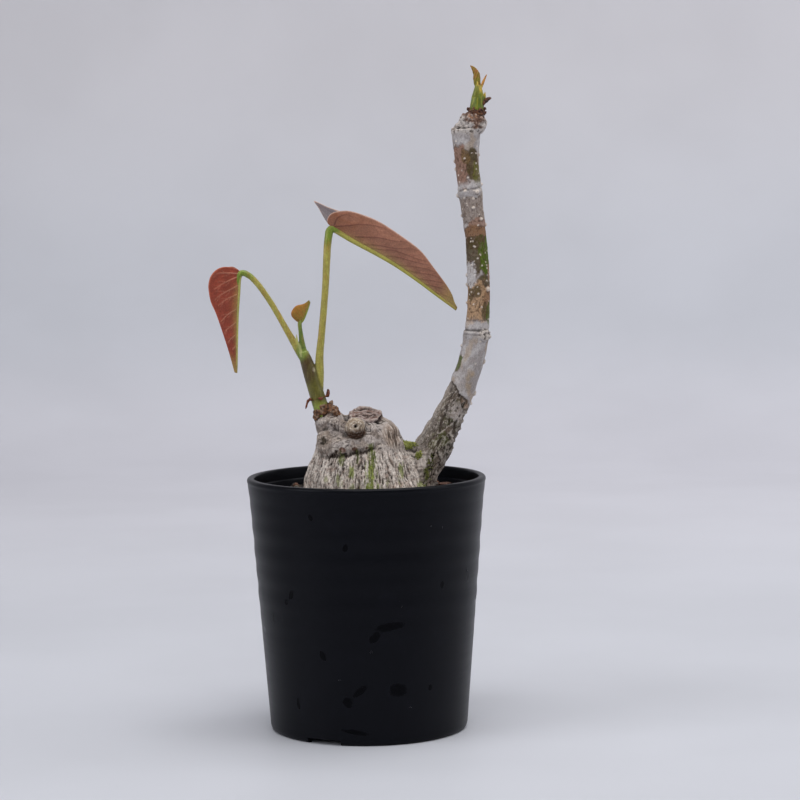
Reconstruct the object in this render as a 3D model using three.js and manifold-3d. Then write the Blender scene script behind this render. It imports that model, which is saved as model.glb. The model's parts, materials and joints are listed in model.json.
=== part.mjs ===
// A shaving brush tree raised from seed: a swollen woody base in a black nursery pot, one old
// branch curving up on the right, and a fresh leafy shoot on the left.
// Millimetres, +Z up. The origin is the middle of the pot's underside, and -Y is the front.
import * as THREE from "three";
import { mergeVertices } from "three/addons/utils/BufferGeometryUtils.js";
import Module from "manifold-3d";

const wasm = await Module();
wasm.setup();

// Driving dimensions of the pot
const RIM_RADIUS = 45;
const POT_HEIGHT = 95.5;
const LIP_HEIGHT = 3;
const LIP_WALL = 2.7;
const LEDGE_Z = 91;
const WALL = 2.1;
const FOOT_RADIUS = 37.2;
const FOOT_WIDTH = 2.4;
const BASE_RISE = 2.2;
const BASE_WALL = 1.8;
const PAD_RADIUS = 12;
const DRAIN_HOLES = 6;
const DRAIN_RADIUS = 3.2;
const DRAIN_CIRCLE = 24;
const NOTCHES = 3;
const NOTCH_WIDTH = 13.5;
const NOTCH_ANGLE = -26.5;
const POT_SIDES = 48;

// Driving dimensions of the plant
const SOIL_Z = 88.5;
const ROOT_Z = 52;
const SHOOT_SEAT_Z = 119.6;
const TIP_SEAT_Z = 230.6;
const BLADE = 0.7;

// Clearance between a piece and the neighbour that it stands in or on
const GAP = 0.3;

// Colours, as sRGB
const COLOURS = {
  pot: "#17181b",
  soil: "#2b211b",
  chip: "#6b4333",
  bark: "#a1968c",
  branch: "#948c88",
  crust: "#5d3a28",
  shoot: "#75812f",
  bud: "#6f9a35",
  leafLeft: "#96493a",
  leafRight: "#a0695a",
  leafYoung: "#a97c45",
  tipLeaf: "#b07a38",
};

// The same list of numbers in 0..1 on each run
function seeded(seed) {
  let state = seed;
  return () => {
    state = (state * 1664525 + 1013904223) % 4294967296;
    return state / 4294967296;
  };
}

function toSolid(geometry) {
  const bare = geometry.clone();
  bare.deleteAttribute("normal");
  bare.deleteAttribute("uv");
  const merged = mergeVertices(bare, 1e-4);
  const vertProperties = merged.getAttribute("position").array;
  const triVerts = new Uint32Array(merged.index.array);
  return new wasm.Manifold(new wasm.Mesh({ numProp: 3, vertProperties, triVerts }));
}

function toMesh(name, solid, colour, roughness) {
  const { vertProperties, triVerts } = solid.getMesh();
  const geometry = new THREE.BufferGeometry();
  geometry.setAttribute("position", new THREE.BufferAttribute(vertProperties, 3));
  geometry.setIndex(new THREE.BufferAttribute(triVerts, 1));
  geometry.computeVertexNormals();
  const material = new THREE.MeshStandardMaterial({ color: colour, roughness, metalness: 0 });
  const mesh = new THREE.Mesh(geometry, material);
  mesh.name = name;
  return mesh;
}

function join(solids) {
  return solids.reduce((whole, solid) => whole.add(solid));
}

function warp(geometry, move) {
  const position = geometry.getAttribute("position");
  const point = new THREE.Vector3();
  for (let i = 0; i < position.count; i++) {
    move(point.fromBufferAttribute(position, i));
    position.setXYZ(i, point.x, point.y, point.z);
  }
  return geometry;
}

// A body of revolution about +Z, from a closed profile of [radius, z]
function turned(profile, sides) {
  const points = profile.map(([radius, z]) => new THREE.Vector2(radius, z));
  return new THREE.LatheGeometry(points, sides).rotateX(Math.PI / 2);
}

// A block larger than the part, on the side of a point that the normal shows
const CUTTER = 120;

function beyond(point, normal) {
  const block = new THREE.BoxGeometry(CUTTER, CUTTER, CUTTER).translate(0, 0, CUTTER / 2);
  const turn = new THREE.Quaternion().setFromUnitVectors(new THREE.Vector3(0, 0, 1), normal);
  return toSolid(block.applyQuaternion(turn).translate(point.x, point.y, point.z));
}

function below(z) {
  const block = new THREE.BoxGeometry(CUTTER, CUTTER, CUTTER);
  return toSolid(block.translate(0, 0, z - CUTTER / 2));
}

// A round stem through stations of [x, y, z, radius]. grow widens it, and flat narrows it in depth.
function limb(stations, { sides = 10, steps = 10, grow = 0, flat = 1, relief = () => 0 } = {}) {
  const places = stations.map(([x, y, z]) => new THREE.Vector3(x, y, z));
  const route = new THREE.CatmullRomCurve3(places, false, "catmullrom", 0.5);
  const widths = stations.map(([, , , radius], i) => new THREE.Vector2(i, radius));
  const width = new THREE.SplineCurve(widths);
  const depth = new THREE.Vector3(0, 1, 0);
  return warp(new THREE.CylinderGeometry(1, 1, 1, sides, steps), (point) => {
    const t = THREE.MathUtils.clamp(point.y + 0.5, 0, 1);
    const angle = Math.atan2(point.x, point.z);
    const reach = Math.hypot(point.x, point.z);
    const tangent = route.getTangent(t);
    const across = depth.clone().addScaledVector(tangent, -depth.dot(tangent)).normalize();
    const out = across.clone().cross(tangent);
    const middle = route.getPoint(t);
    const radius = reach * (width.getPoint(t).y + grow + relief(middle, angle));
    point.copy(middle);
    point.addScaledVector(across, radius * Math.sin(angle) * flat);
    point.addScaledVector(out, radius * Math.cos(angle));
  });
}

// A rough crumb of bark
function crumb(x, y, z, radius, random) {
  const shape = new THREE.IcosahedronGeometry(1, 0);
  const stretch = [0, 1, 2].map(() => radius * (0.8 + 0.4 * random()));
  shape.scale(...stretch).rotateZ(Math.PI * random()).rotateX(Math.PI * random());
  return toSolid(shape.translate(x, y, z));
}

// The pot: a tapered wall with a rolled lip, an inner ledge, and a ring foot under a raised base
function wallRadius(z) {
  const slope = (RIM_RADIUS - 0.6 - FOOT_RADIUS) / (POT_HEIGHT - LIP_HEIGHT);
  return FOOT_RADIUS + slope * z;
}

function innerRadius(z) {
  return wallRadius(z) - WALL - (z > 80 ? 0.5 * THREE.MathUtils.smoothstep(z, 80, LEDGE_Z) : 0);
}

function makePot() {
  const lipZ = POT_HEIGHT - LIP_HEIGHT;
  const lipInner = RIM_RADIUS - LIP_WALL;
  const footInner = FOOT_RADIUS - FOOT_WIDTH;
  const floorZ = BASE_RISE + BASE_WALL;
  const profile = [
    [0, 0],
    [PAD_RADIUS, 0],
    [PAD_RADIUS + 0.6, BASE_RISE],
    [footInner - 0.4, BASE_RISE],
    [footInner, 0],
    [FOOT_RADIUS - 1.3, 0],
    [FOOT_RADIUS - 0.4, 0.4],
    [wallRadius(1.8), 1.8],
    [wallRadius(46), 46],
    [wallRadius(lipZ - 0.4), lipZ - 0.4],
    [RIM_RADIUS - 0.1, lipZ + 0.3],
    [RIM_RADIUS, lipZ + 1],
    [RIM_RADIUS, POT_HEIGHT - 1],
    [RIM_RADIUS - 0.5, POT_HEIGHT - 0.25],
    [RIM_RADIUS - 1.2, POT_HEIGHT],
    [lipInner + 0.6, POT_HEIGHT],
    [lipInner, POT_HEIGHT - 0.6],
    [lipInner, LEDGE_Z],
    [innerRadius(LEDGE_Z), LEDGE_Z],
    [innerRadius(80), 80],
    [innerRadius(floorZ + 1.5), floorZ + 1.5],
    [innerRadius(floorZ) - 1.4, floorZ],
    [0, floorZ],
  ];
  let pot = toSolid(turned(profile, POT_SIDES));
  for (let i = 0; i < NOTCHES; i++) {
    const notch = new THREE.BoxGeometry(NOTCH_WIDTH, 14, 2 * (BASE_RISE - 0.2));
    const turn = THREE.MathUtils.degToRad(NOTCH_ANGLE + (360 / NOTCHES) * i);
    pot = pot.subtract(toSolid(notch.translate(0, -FOOT_RADIUS, 0).rotateZ(turn)));
  }
  for (let i = 0; i < DRAIN_HOLES; i++) {
    const hole = new THREE.CylinderGeometry(DRAIN_RADIUS, DRAIN_RADIUS, 12, 16);
    const turn = ((i + 0.5) * 2 * Math.PI) / DRAIN_HOLES;
    hole.rotateX(Math.PI / 2).translate(DRAIN_CIRCLE, 0, 0).rotateZ(turn);
    pot = pot.subtract(toSolid(hole));
  }
  return pot;
}

// The root end of the swollen base, an oval cone in a plain hole in the soil
const ROOT_ROWS = [
  [ROOT_Z, 7],
  [ROOT_Z + 4, 11],
  [66, 17],
  [78, 22.6],
  [SOIL_Z, 24.9],
  [SOIL_Z + 2.6, 24.6],
];
const ROOT_X = 1.2;
const ROOT_DEPTH = 0.82;

function makeRoot(grow = 0) {
  const stations = ROOT_ROWS.map(([z, radius]) => [ROOT_X, 0, z, radius]);
  stations[0][2] -= grow;
  return toSolid(limb(stations, { sides: 36, steps: 7, grow, flat: ROOT_DEPTH }));
}

// The chip of bark that lies on the soil behind the branch
const CHIP = new THREE.Vector3(30, 23, SOIL_Z + 0.3);
const CHIP_THICKNESS = 1.3;

// Soil, mounded a little and crumbly on top, flat under the chip
function soilRelief(x, y) {
  const crumbs = Math.sin(1.9 * x + 0.7 * y) * Math.sin(1.6 * y - 0.5 * x);
  const humps = Math.sin(0.31 * x + 1) * Math.cos(0.27 * y);
  const clear = THREE.MathUtils.smoothstep(Math.hypot(x - CHIP.x, y - CHIP.y), 4.5, 7);
  return (0.45 * crumbs + 0.5 * humps) * clear;
}

function makeSoil() {
  const floorZ = BASE_RISE + BASE_WALL;
  const outer = (z) => innerRadius(z) - GAP;
  const profile = [
    [0, floorZ],
    [outer(floorZ) - 1.9, floorZ],
    [outer(floorZ + 1.6), floorZ + 1.9],
    [outer(80), 80],
    [outer(SOIL_Z - 1), SOIL_Z - 1],
  ];
  const rings = 10;
  const edge = outer(SOIL_Z) - 0.4;
  for (let i = 0; i <= rings; i++) {
    profile.push([edge * (1 - i / rings), SOIL_Z]);
  }
  const shape = warp(turned(profile, 36), (point) => {
    const isTop = point.z > SOIL_Z - 0.01;
    point.z += isTop && Math.hypot(point.x, point.y) < edge - 1 ? soilRelief(point.x, point.y) : 0;
  });
  return toSolid(shape).subtract(makeRoot(GAP)).subtract(makeNeckHole());
}

// The hole widens a little where the ribbed base of the plant leaves the soil
function makeNeckHole() {
  const radius = ROOT_ROWS.at(-1)[1] + 1.3;
  const height = 8;
  const neck = new THREE.CylinderGeometry(radius, radius, height, 36).rotateX(Math.PI / 2);
  return toSolid(neck.scale(1, ROOT_DEPTH, 1).translate(ROOT_X, 0, SOIL_Z - 1.5 + height / 2));
}

function makeChip() {
  const random = seeded(5);
  const shape = new THREE.CylinderGeometry(2.6, 3.1, CHIP_THICKNESS, 7).rotateX(Math.PI / 2);
  warp(shape, (point) => {
    const shrink = point.z > 0 ? 0.92 + 0.12 * Math.sin(3 * point.x) : 1;
    point.x *= shrink;
    point.y *= 0.62 * shrink;
  });
  shape.rotateZ(0.4 + 0.2 * random());
  return toSolid(shape.translate(CHIP.x, CHIP.y, CHIP.z + CHIP_THICKNESS / 2));
}

// Rows up the swollen base: height, left edge, right edge, half depth
const BODY_ROWS = [
  [84, -20, 22, 17],
  [SOIL_Z, -23.9, 25.2, 20.2],
  [91.5, -23.7, 24.0, 19.9],
  [95, -23.2, 20.2, 18.9],
  [100, -21.3, 17.6, 17.2],
  [104, -19.5, 16.0, 15.6],
  [108, -18.6, 14.4, 14.2],
  [112, -16.8, 12.8, 12.6],
  [115, -14.8, 10.6, 11.2],
  [118, -12, 7, 9],
  [121, -9, 6.4, 7.0],
];
const BODY_MIDDLE = new THREE.Vector3(-1, 0, 103);
const BODY_REACH = 40;

function bodyDistance(point) {
  const last = BODY_ROWS.length - 1;
  let i = 1;
  while (i < last && BODY_ROWS[i][0] < point.z) i++;
  const [low, high] = [BODY_ROWS[i - 1], BODY_ROWS[i]];
  const share = THREE.MathUtils.clamp((point.z - low[0]) / (high[0] - low[0]), 0, 1);
  const [, left, right, depth] = low.map((value, k) => THREE.MathUtils.lerp(value, high[k], share));
  const half = (right - left) / 2;
  const ring = Math.hypot((point.x - (left + right) / 2) / half, point.y / depth);
  const wall = (ring - 1) * Math.min(half, depth);
  const top = point.z - (118.6 + 0.12 * point.y);
  const bottom = BODY_ROWS[0][0] - point.z;
  return -blend(-wall, -Math.max(top, bottom), 3);
}

// The smooth union of two distances
function blend(a, b, softness) {
  const share = THREE.MathUtils.clamp(0.5 + (0.5 * (b - a)) / softness, 0, 1);
  return THREE.MathUtils.lerp(b, a, share) - softness * share * (1 - share);
}

function rod(point, start, end, startRadius, endRadius) {
  const line = end.clone().sub(start);
  const along = point.clone().sub(start).dot(line) / line.lengthSq();
  const share = THREE.MathUtils.clamp(along, 0, 1);
  const nearest = start.clone().addScaledVector(line, share);
  return point.distanceTo(nearest) - THREE.MathUtils.lerp(startRadius, endRadius, share);
}

const at = (x, y, z) => new THREE.Vector3(x, y, z);

// What swells out of the base: start, end, the two radii, and how softly it runs in
const SWELLINGS = [
  { start: at(-9.3, 0, 106), end: at(-13.9, -1.5, 119), radii: [6, 5.4], soft: 2.2 },
  { start: at(-3.8, -9.5, 114.6), end: at(-3.8, -12.6, 115.4), radii: [4.4, 3.7], soft: 0.9 },
  { start: at(-13.2, -6.5, 110), end: at(-15.4, -8.2, 110.2), radii: [3.6, 2.9], soft: 1.4 },
  { start: at(6, -3, 111), end: at(8.2, -4.5, 112.2), radii: [5, 4.2], soft: 1.8 },
  { start: at(-15.5, -8.6, 105.8), end: at(-7, -13.2, 105.4), radii: [2.4, 2.6], soft: 1.6 },
  { start: at(-7, -13.2, 105.4), end: at(2, -13.4, 107.2), radii: [2.6, 2], soft: 1.6 },
  { start: at(6, 6, 108), end: at(2, 9.5, 113), radii: [5, 3.4], soft: 2.5 },
  { start: at(-9, 8, 104), end: at(-11, 10.5, 109), radii: [4.6, 3], soft: 2 },
  { start: at(10, 0.5, 92), end: at(21.4, 0.6, 99), radii: [8.2, 6.2], soft: 4 },
  { start: at(9, 0.3, 102.5), end: at(16.9, 0.4, 104.9), radii: [4.4, 3], soft: 2 },
];

function barkRelief(point) {
  const angle = Math.atan2(point.y, point.x);
  const low = 1 - THREE.MathUtils.smoothstep(point.z, 103, 109);
  const flutes = 0.42 * Math.sin(13 * angle + 0.12 * point.z) + 0.3 * Math.sin(22 * angle + 1.3);
  const creases = 0.3 * Math.sin(0.9 * point.z + 2 * angle) * Math.sin(3 * angle + 0.4 * point.z);
  return flutes * low + creases * (1 - low);
}

function caudexDistance(point) {
  let distance = bodyDistance(point);
  for (const { start, end, radii, soft } of SWELLINGS) {
    distance = blend(distance, rod(point, start, end, ...radii), soft);
  }
  return distance + barkRelief(point);
}

// The skin of the swollen base, found by halving along each ray from its middle
function makeSwelling() {
  const shape = warp(new THREE.IcosahedronGeometry(1, 11), (ray) => {
    let inside = 0;
    let outside = BODY_REACH;
    while (outside - inside > 1e-5) {
      const middle = (inside + outside) / 2;
      const point = BODY_MIDDLE.clone().addScaledVector(ray, middle);
      if (caudexDistance(point) < 0) inside = middle;
      else outside = middle;
    }
    ray.multiplyScalar(inside).add(BODY_MIDDLE);
  });
  return toSolid(shape);
}

// The old saw cut on top, tilted to the front, with a rough rim
const SCAR = at(0.2, -3.2, 118.6);

function makeScar() {
  const shape = warp(new THREE.CylinderGeometry(6.2, 6.7, 3.2, 20, 1), (point) => {
    const angle = Math.atan2(point.x, point.z);
    const rough = 1 + 0.06 * Math.sin(5 * angle) + 0.04 * Math.sin(9 * angle + 1);
    point.x *= rough;
    point.z *= 0.78 * rough;
  });
  shape.rotateX(Math.PI / 2 + THREE.MathUtils.degToRad(17));
  return toSolid(shape.translate(SCAR.x, SCAR.y, SCAR.z));
}

// The old branch: it leaves the base on the right, leans out, then stands nearly upright.
const BRANCH = [
  [15.5, 0.5, 87, 7.2],
  [19, 0.6, 92.5, 7.2],
  [21.9, 0.6, 98.9, 6.9],
  [24.6, 0.6, 105, 6.7],
  [27.6, 0.3, 111, 5.9],
  [32.3, -0.2, 120, 5.3],
  [37.7, -1, 132, 4.8],
  [41.2, -1.5, 144, 4.7],
  [42.7, -1.4, 158, 4.35],
  [42.9, -0.8, 172, 4.25],
  [41.9, 0, 186, 4.1],
  [40.3, 0.6, 200, 4.4],
  [38.9, 0.9, 214, 4.6],
  [38.7, 1, 225, 5.5],
];
const SEAM = at(24.7, 0.6, 105.3);
const SEAM_NORMAL = at(0.41, 0, 0.91).normalize();
const RING_SCARS = [
  [147.5, 0.5],
  [195, 0.25],
];
const LOW_BARK_Z = 130;

function branchRelief(middle, angle) {
  const rings = RING_SCARS.map(([z, lift]) => lift * Math.exp(-(((middle.z - z) / 1.6) ** 2)));
  const rough = 1 - THREE.MathUtils.smoothstep(middle.z, LOW_BARK_Z - 4, LOW_BARK_Z + 4);
  const knots = Math.sin(3 * angle + 0.35 * middle.z) * Math.sin(0.55 * middle.z);
  return rings.reduce((sum, lift) => sum + lift, 0) + (0.1 + 0.3 * rough) * knots;
}

function makeBranch() {
  return toSolid(limb(BRANCH, { sides: 14, steps: 40, relief: branchRelief }));
}

// The stub on the left is cut level for the foot of the green shoot, as far as this X.
const SEAT_RIGHT_X = -6.6;

function makeCaudex() {
  const foot = makeBranch().subtract(beyond(SEAM, SEAM_NORMAL));
  const whole = join([makeSwelling(), makeRoot(), makeScar(), foot.subtract(below(SOIL_Z))]);
  const [width, depth, height] = [16, 24, 12];
  const seat = new THREE.BoxGeometry(width, depth, height);
  seat.translate(SEAT_RIGHT_X - width / 2, 0, SHOOT_SEAT_Z + height / 2);
  return whole.subtract(toSolid(seat));
}

// The woody stem above the seam, with warts and the crusted knob that the top bud breaks from
const KNOB = at(41.2, 0.9, 227.4);
const TIP = at(42.8, 0.6, TIP_SEAT_Z);
const TIP_SOCKET = 4.1;

function makeWoodyStem() {
  const start = SEAM.clone().addScaledVector(SEAM_NORMAL, GAP);
  const random = seeded(11);
  const pieces = [makeBranch().subtract(beyond(start, SEAM_NORMAL.clone().negate()))];
  for (let i = 5; i < BRANCH.length - 1; i++) {
    const [x, y, z, radius] = BRANCH[i];
    const angle = (i % 2) * Math.PI + 0.9 * (random() - 0.5);
    const side = radius + 0.15;
    pieces.push(crumb(x + side * Math.cos(angle), y - side * Math.sin(angle), z, 0.85, random));
  }
  pieces.push(toSolid(new THREE.IcosahedronGeometry(5.2, 2).translate(...KNOB)));
  const crumbs = 14;
  for (let i = 0; i < crumbs; i++) {
    const angle = (2 * Math.PI * i) / crumbs;
    const lift = (i % 2 ? 1.9 : -1.2) + 1.4 * random();
    const x = KNOB.x + 4.7 * Math.cos(angle);
    const y = KNOB.y + 4.6 * Math.sin(angle);
    pieces.push(crumb(x, y, KNOB.z + lift, 1.6, random));
  }
  pieces.push(crumb(34.6, 0.6, 224.6, 1.7, random), crumb(43.6, 0, 224.4, 1.5, random));
  const socket = new THREE.CylinderGeometry(TIP_SOCKET, TIP_SOCKET, 8, 20).rotateX(Math.PI / 2);
  return join(pieces).subtract(toSolid(socket.translate(TIP.x, TIP.y, TIP_SEAT_Z + 4)));
}

// The green shoot: its stem, three leaf stalks and two pale stipules
const SHOOT_Y = -3;
const SHOOT_STEM = [
  [-15.2, SHOOT_Y, 117.5, 3],
  [-16.9, SHOOT_Y, 122.6, 2.85],
  [-19.4, SHOOT_Y, 131, 2.75],
  [-21.3, SHOOT_Y, 137.4, 2.5],
  [-23, SHOOT_Y, 142.6, 1.9],
];
const STALK_RIGHT = [
  [-17.6, SHOOT_Y, 127, 1.9],
  [-17.1, SHOOT_Y, 134.9, 1.75],
  [-16.9, SHOOT_Y, 141.3, 1.5],
  [-15.9, SHOOT_Y + 0.4, 151, 1.3],
  [-14.5, SHOOT_Y + 1.4, 166, 1.3],
  [-13.6, SHOOT_Y + 2.4, 181, 1.4],
  [-13, SHOOT_Y + 2.9, 185.6, 1.45],
  [-12.6, SHOOT_Y + 3, 187.7, 1.5],
];
const STALK_LEFT = [
  [-21.6, SHOOT_Y, 138.4, 1.7],
  [-24.1, SHOOT_Y, 142.3, 1.6],
  [-28.6, SHOOT_Y, 150.1, 1.2],
  [-33.9, SHOOT_Y - 0.3, 159.7, 1.1],
  [-38.2, SHOOT_Y - 0.7, 166.4, 1.1],
  [-41.4, SHOOT_Y - 1, 170.3, 1.1],
  [-43.6, SHOOT_Y - 1, 172, 1.15],
  [-44.6, SHOOT_Y - 1, 172.3, 1.2],
];
const STALK_YOUNG = [
  [-22.2, SHOOT_Y, 139.6, 1.7],
  [-23.2, SHOOT_Y, 144.5, 1.2],
  [-23.9, SHOOT_Y, 150, 0.8],
  [-24.3, SHOOT_Y, 152.9, 0.8],
];
const STIPULES = [
  [
    [-23, SHOOT_Y - 1.6, 139.8, 0.9],
    [-24.4, SHOOT_Y - 1.7, 144.6, 0.85],
    [-25.5, SHOOT_Y - 1.5, 148.2, 0.3],
  ],
  [
    [-19.4, SHOOT_Y - 2, 132, 0.8],
    [-19, SHOOT_Y - 2.3, 135.2, 0.7],
    [-18.4, SHOOT_Y - 2.2, 137.4, 0.3],
  ],
];

function makeShoot(grow = 0) {
  const pieces = [toSolid(limb(SHOOT_STEM, { sides: 14, steps: 10, grow }))];
  for (const stalk of [STALK_RIGHT, STALK_LEFT]) {
    pieces.push(toSolid(limb(stalk, { sides: 9, steps: 18, grow })));
  }
  pieces.push(toSolid(limb(STALK_YOUNG, { sides: 8, steps: 7, grow })));
  for (const stipule of STIPULES) {
    pieces.push(toSolid(limb(stipule, { sides: 7, steps: 5, grow, flat: 0.7 })));
  }
  return join(pieces);
}

// Brown crust on the stub around the foot of the shoot
function makeShootCollar() {
  const random = seeded(23);
  const mound = new THREE.IcosahedronGeometry(1, 2).scale(4.9, 4.4, 3.6);
  const pieces = [toSolid(mound.translate(-12.8, SHOOT_Y + 1, SHOOT_SEAT_Z))];
  const crumbs = 15;
  for (let i = 0; i < crumbs; i++) {
    const angle = (2 * Math.PI * i) / crumbs;
    const row = i % 2;
    const high = 1 + 1.7 * row + 0.6 * random();
    const reach = 4.2 - 1.3 * row;
    const x = -12.9 + reach * Math.cos(angle);
    const y = SHOOT_Y + 0.9 + 0.9 * reach * Math.sin(angle);
    pieces.push(crumb(x, y, SHOOT_SEAT_Z + high, 1.3, random));
  }
  return join(pieces).subtract(below(SHOOT_SEAT_Z)).subtract(makeShoot(GAP));
}

// Dried stipules on a thin ring around the shoot's lowest node: a hooked one and a short one
const NODE_RING = at(-17.6, SHOOT_Y, 124.9);
const NODE_TILT = -0.27;

function makeDriedStipules() {
  const inner = 3.15;
  const outer = 3.8;
  const height = 0.8;
  const ring = turned([[inner, 0], [outer, 0], [outer, height], [inner, height], [inner, 0]], 16);
  ring.rotateY(NODE_TILT).translate(NODE_RING.x, NODE_RING.y, NODE_RING.z);
  const hook = [
    [NODE_RING.x - 2.6, SHOOT_Y - 2.2, 125.2, 0.55],
    [NODE_RING.x - 3.8, SHOOT_Y - 2.3, 124.4, 0.5],
    [-22.3, SHOOT_Y - 2.4, 121.4, 0.3],
  ];
  const nub = [
    [NODE_RING.x + 3.3, SHOOT_Y - 0.8, 125.6, 0.6],
    [NODE_RING.x + 3.7, SHOOT_Y - 0.8, 127.4, 0.7],
    [NODE_RING.x + 3.6, SHOOT_Y - 0.8, 128.8, 0.35],
  ];
  const strands = [hook, nub].map((strand) => toSolid(limb(strand, { sides: 6, steps: 5 })));
  return join([toSolid(ring), ...strands]);
}

// A leaf folded along its midrib, its two halves leaning out to the front and to the back.
// midrib, near and far are [x, z] outlines from the leaf's base to its tip.
function makeLeaf({ midrib, near, far, lean, belly, y, rib, along, across = 4 }) {
  const [spine, front, back] = [midrib, near, far].map(
    (outline) => new THREE.SplineCurve(outline.map(([x, z]) => new THREE.Vector2(x, z))),
  );
  const least = 0.5 * BLADE + 0.25;
  const outward = front.getPointAt(0.5).sub(spine.getPointAt(0.5));
  const facing = Math.sign(spine.getTangentAt(0.5).cross(outward));
  return toSolid(
    warp(new THREE.BoxGeometry(1, 1, 1, along, 2 * across, 1), (point) => {
      const [u, s] = [point.x + 0.5, 2 * point.y];
      const isOuter = facing * point.z < 0;
      const side = Math.sign(s);
      const start = spine.getPointAt(u);
      const edge = (s < 0 ? front : back).getPointAt(u);
      const width = start.distanceTo(edge);
      const spread = Math.max(lean * width, least);
      const crease = isOuter ? 0 : (0.5 * BLADE) / spread;
      const v = crease + (1 - crease) * Math.abs(s) ** 1.2;
      const swell = belly * Math.sin(Math.PI * v) * Math.sin(Math.PI * u);
      const out = spread * v + swell + (isOuter ? 0.5 : -0.5) * BLADE;
      const ridge = isOuter && s === 0 ? THREE.MathUtils.lerp(rib[0], rib[1], u) / width : 0;
      const place = start.clone().lerp(edge, v - ridge);
      point.set(place.x, y + side * out, place.y);
    }),
  );
}

const LEAF_RIGHT = {
  midrib: [
    [-11.9, 188.9],
    [-10, 187.7],
    [-5, 184.6],
    [6.3, 178.3],
    [13.5, 173.8],
    [21.2, 168.2],
    [27.6, 163.2],
    [34.6, 157.9],
  ],
  near: [
    [-12.4, 189.7],
    [-13.4, 190.8],
    [-13.1, 192.8],
    [-11.8, 194.3],
    [-9, 195.1],
    [-4.8, 195.1],
    [0.7, 193.4],
    [6.3, 190.9],
    [13.7, 186],
    [21.1, 180.3],
    [26.2, 173.7],
    [30.3, 167.1],
    [34.9, 158.6],
  ],
  far: [
    [-12.4, 189.7],
    [-14.2, 191.8],
    [-16.7, 196.1],
    [-18.5, 198.9],
    [-17.4, 198.4],
    [-13.4, 196.3],
    [-9, 195.2],
    [-3.6, 193.9],
    [6, 190],
    [13.3, 185],
    [20.6, 179.2],
    [29.9, 166.4],
    [34.9, 158.6],
  ],
  lean: 0.2,
  belly: 0.7,
  y: SHOOT_Y + 3,
  rib: [1.1, 0.4],
  along: 22,
};

const LEAF_LEFT = {
  midrib: [
    [-45.6, 172.6],
    [-46.3, 170.4],
    [-46.8, 164.2],
    [-47.4, 156.7],
    [-47.8, 146.1],
    [-48, 138.6],
    [-48.2, 135.2],
  ],
  near: [
    [-46.2, 173.2],
    [-47.2, 173.9],
    [-48.8, 174.6],
    [-52.1, 174.9],
    [-54.8, 173.9],
    [-56.9, 171.6],
    [-58, 168.6],
    [-58, 166.2],
    [-57.1, 162],
    [-55.4, 157.9],
    [-53.8, 153.1],
    [-50.9, 143.5],
    [-48.8, 135.4],
  ],
  far: [
    [-46.2, 173.2],
    [-47.4, 174.2],
    [-49.2, 174.9],
    [-51.6, 174.4],
    [-54, 173],
    [-56, 170.4],
    [-56.9, 166.6],
    [-55.8, 161.8],
    [-53.2, 154],
    [-50.5, 143.6],
    [-48.8, 135.4],
  ],
  lean: 0.2,
  belly: 0.6,
  y: SHOOT_Y - 1,
  rib: [0.9, 0.35],
  along: 20,
};

const LEAF_YOUNG = {
  midrib: [
    [-24, 153.6],
    [-22.9, 154.8],
    [-21.3, 158.5],
    [-20.3, 161.6],
  ],
  near: [
    [-24.8, 153.9],
    [-25.6, 154.4],
    [-26.9, 155.8],
    [-27.3, 157.2],
    [-26.7, 158.7],
    [-25.3, 160.1],
    [-22.5, 160.8],
    [-20.6, 162.1],
  ],
  far: [
    [-24.8, 153.9],
    [-26, 155.2],
    [-26.5, 157.2],
    [-25.6, 158.8],
    [-24, 160],
    [-22.4, 160.4],
    [-20.6, 162.1],
  ],
  lean: 0.3,
  belly: 0.3,
  y: SHOOT_Y,
  rib: [0.5, 0.3],
  along: 10,
  across: 3,
};

// The bud on top of the branch, with a small green point on its right
const BUD = [
  [TIP.x, TIP.y, TIP_SEAT_Z - 1, 2.5],
  [42.9, TIP.y, 233.2, 2.7],
  [43.3, TIP.y, 237, 2.3],
  [43.4, TIP.y, 240.2, 1.45],
  [43.3, TIP.y, 241.1, 1.2],
];
const BUD_POINT = [
  [44.6, TIP.y - 0.6, 234.6, 0.9],
  [45.6, TIP.y - 0.7, 236.8, 0.65],
  [46, TIP.y - 0.7, 238.5, 0.3],
];
const TIP_LEAF = [
  [43.25, TIP.y, 241.4, 1.25],
  [42.95, TIP.y, 243.4, 1.35],
  [42.85, TIP.y, 245.4, 1.25],
  [41.8, TIP.y, 247.4, 0.8],
  [40.6, TIP.y, 248.6, 0.3],
];
const TIP_STIPULE = [
  [44.3, TIP.y - 0.4, 240, 0.4],
  [45.2, TIP.y - 0.5, 242.2, 0.5],
  [46.6, TIP.y - 0.5, 245.1, 0.3],
];
const TIP_SCALE = [
  [46.3, TIP.y - 0.5, 231.6, 0.6],
  [46.5, TIP.y - 0.5, 234.4, 0.5],
  [47.2, TIP.y - 0.5, 236, 0.7],
  [48.2, TIP.y - 0.5, 236.9, 0.6],
];

function makeBud(grow = 0) {
  const body = toSolid(limb(BUD, { sides: 12, steps: 8, grow }));
  return body.add(toSolid(limb(BUD_POINT, { sides: 7, steps: 5, grow })));
}

function makeTipLeaf(grow = 0) {
  return toSolid(limb(TIP_LEAF, { sides: 10, steps: 8, flat: 0.62, grow }));
}

function makeTipStipule() {
  const strand = toSolid(limb(TIP_STIPULE, { sides: 7, steps: 6 }));
  return strand.subtract(makeBud(GAP)).subtract(makeTipLeaf(GAP));
}

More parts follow.
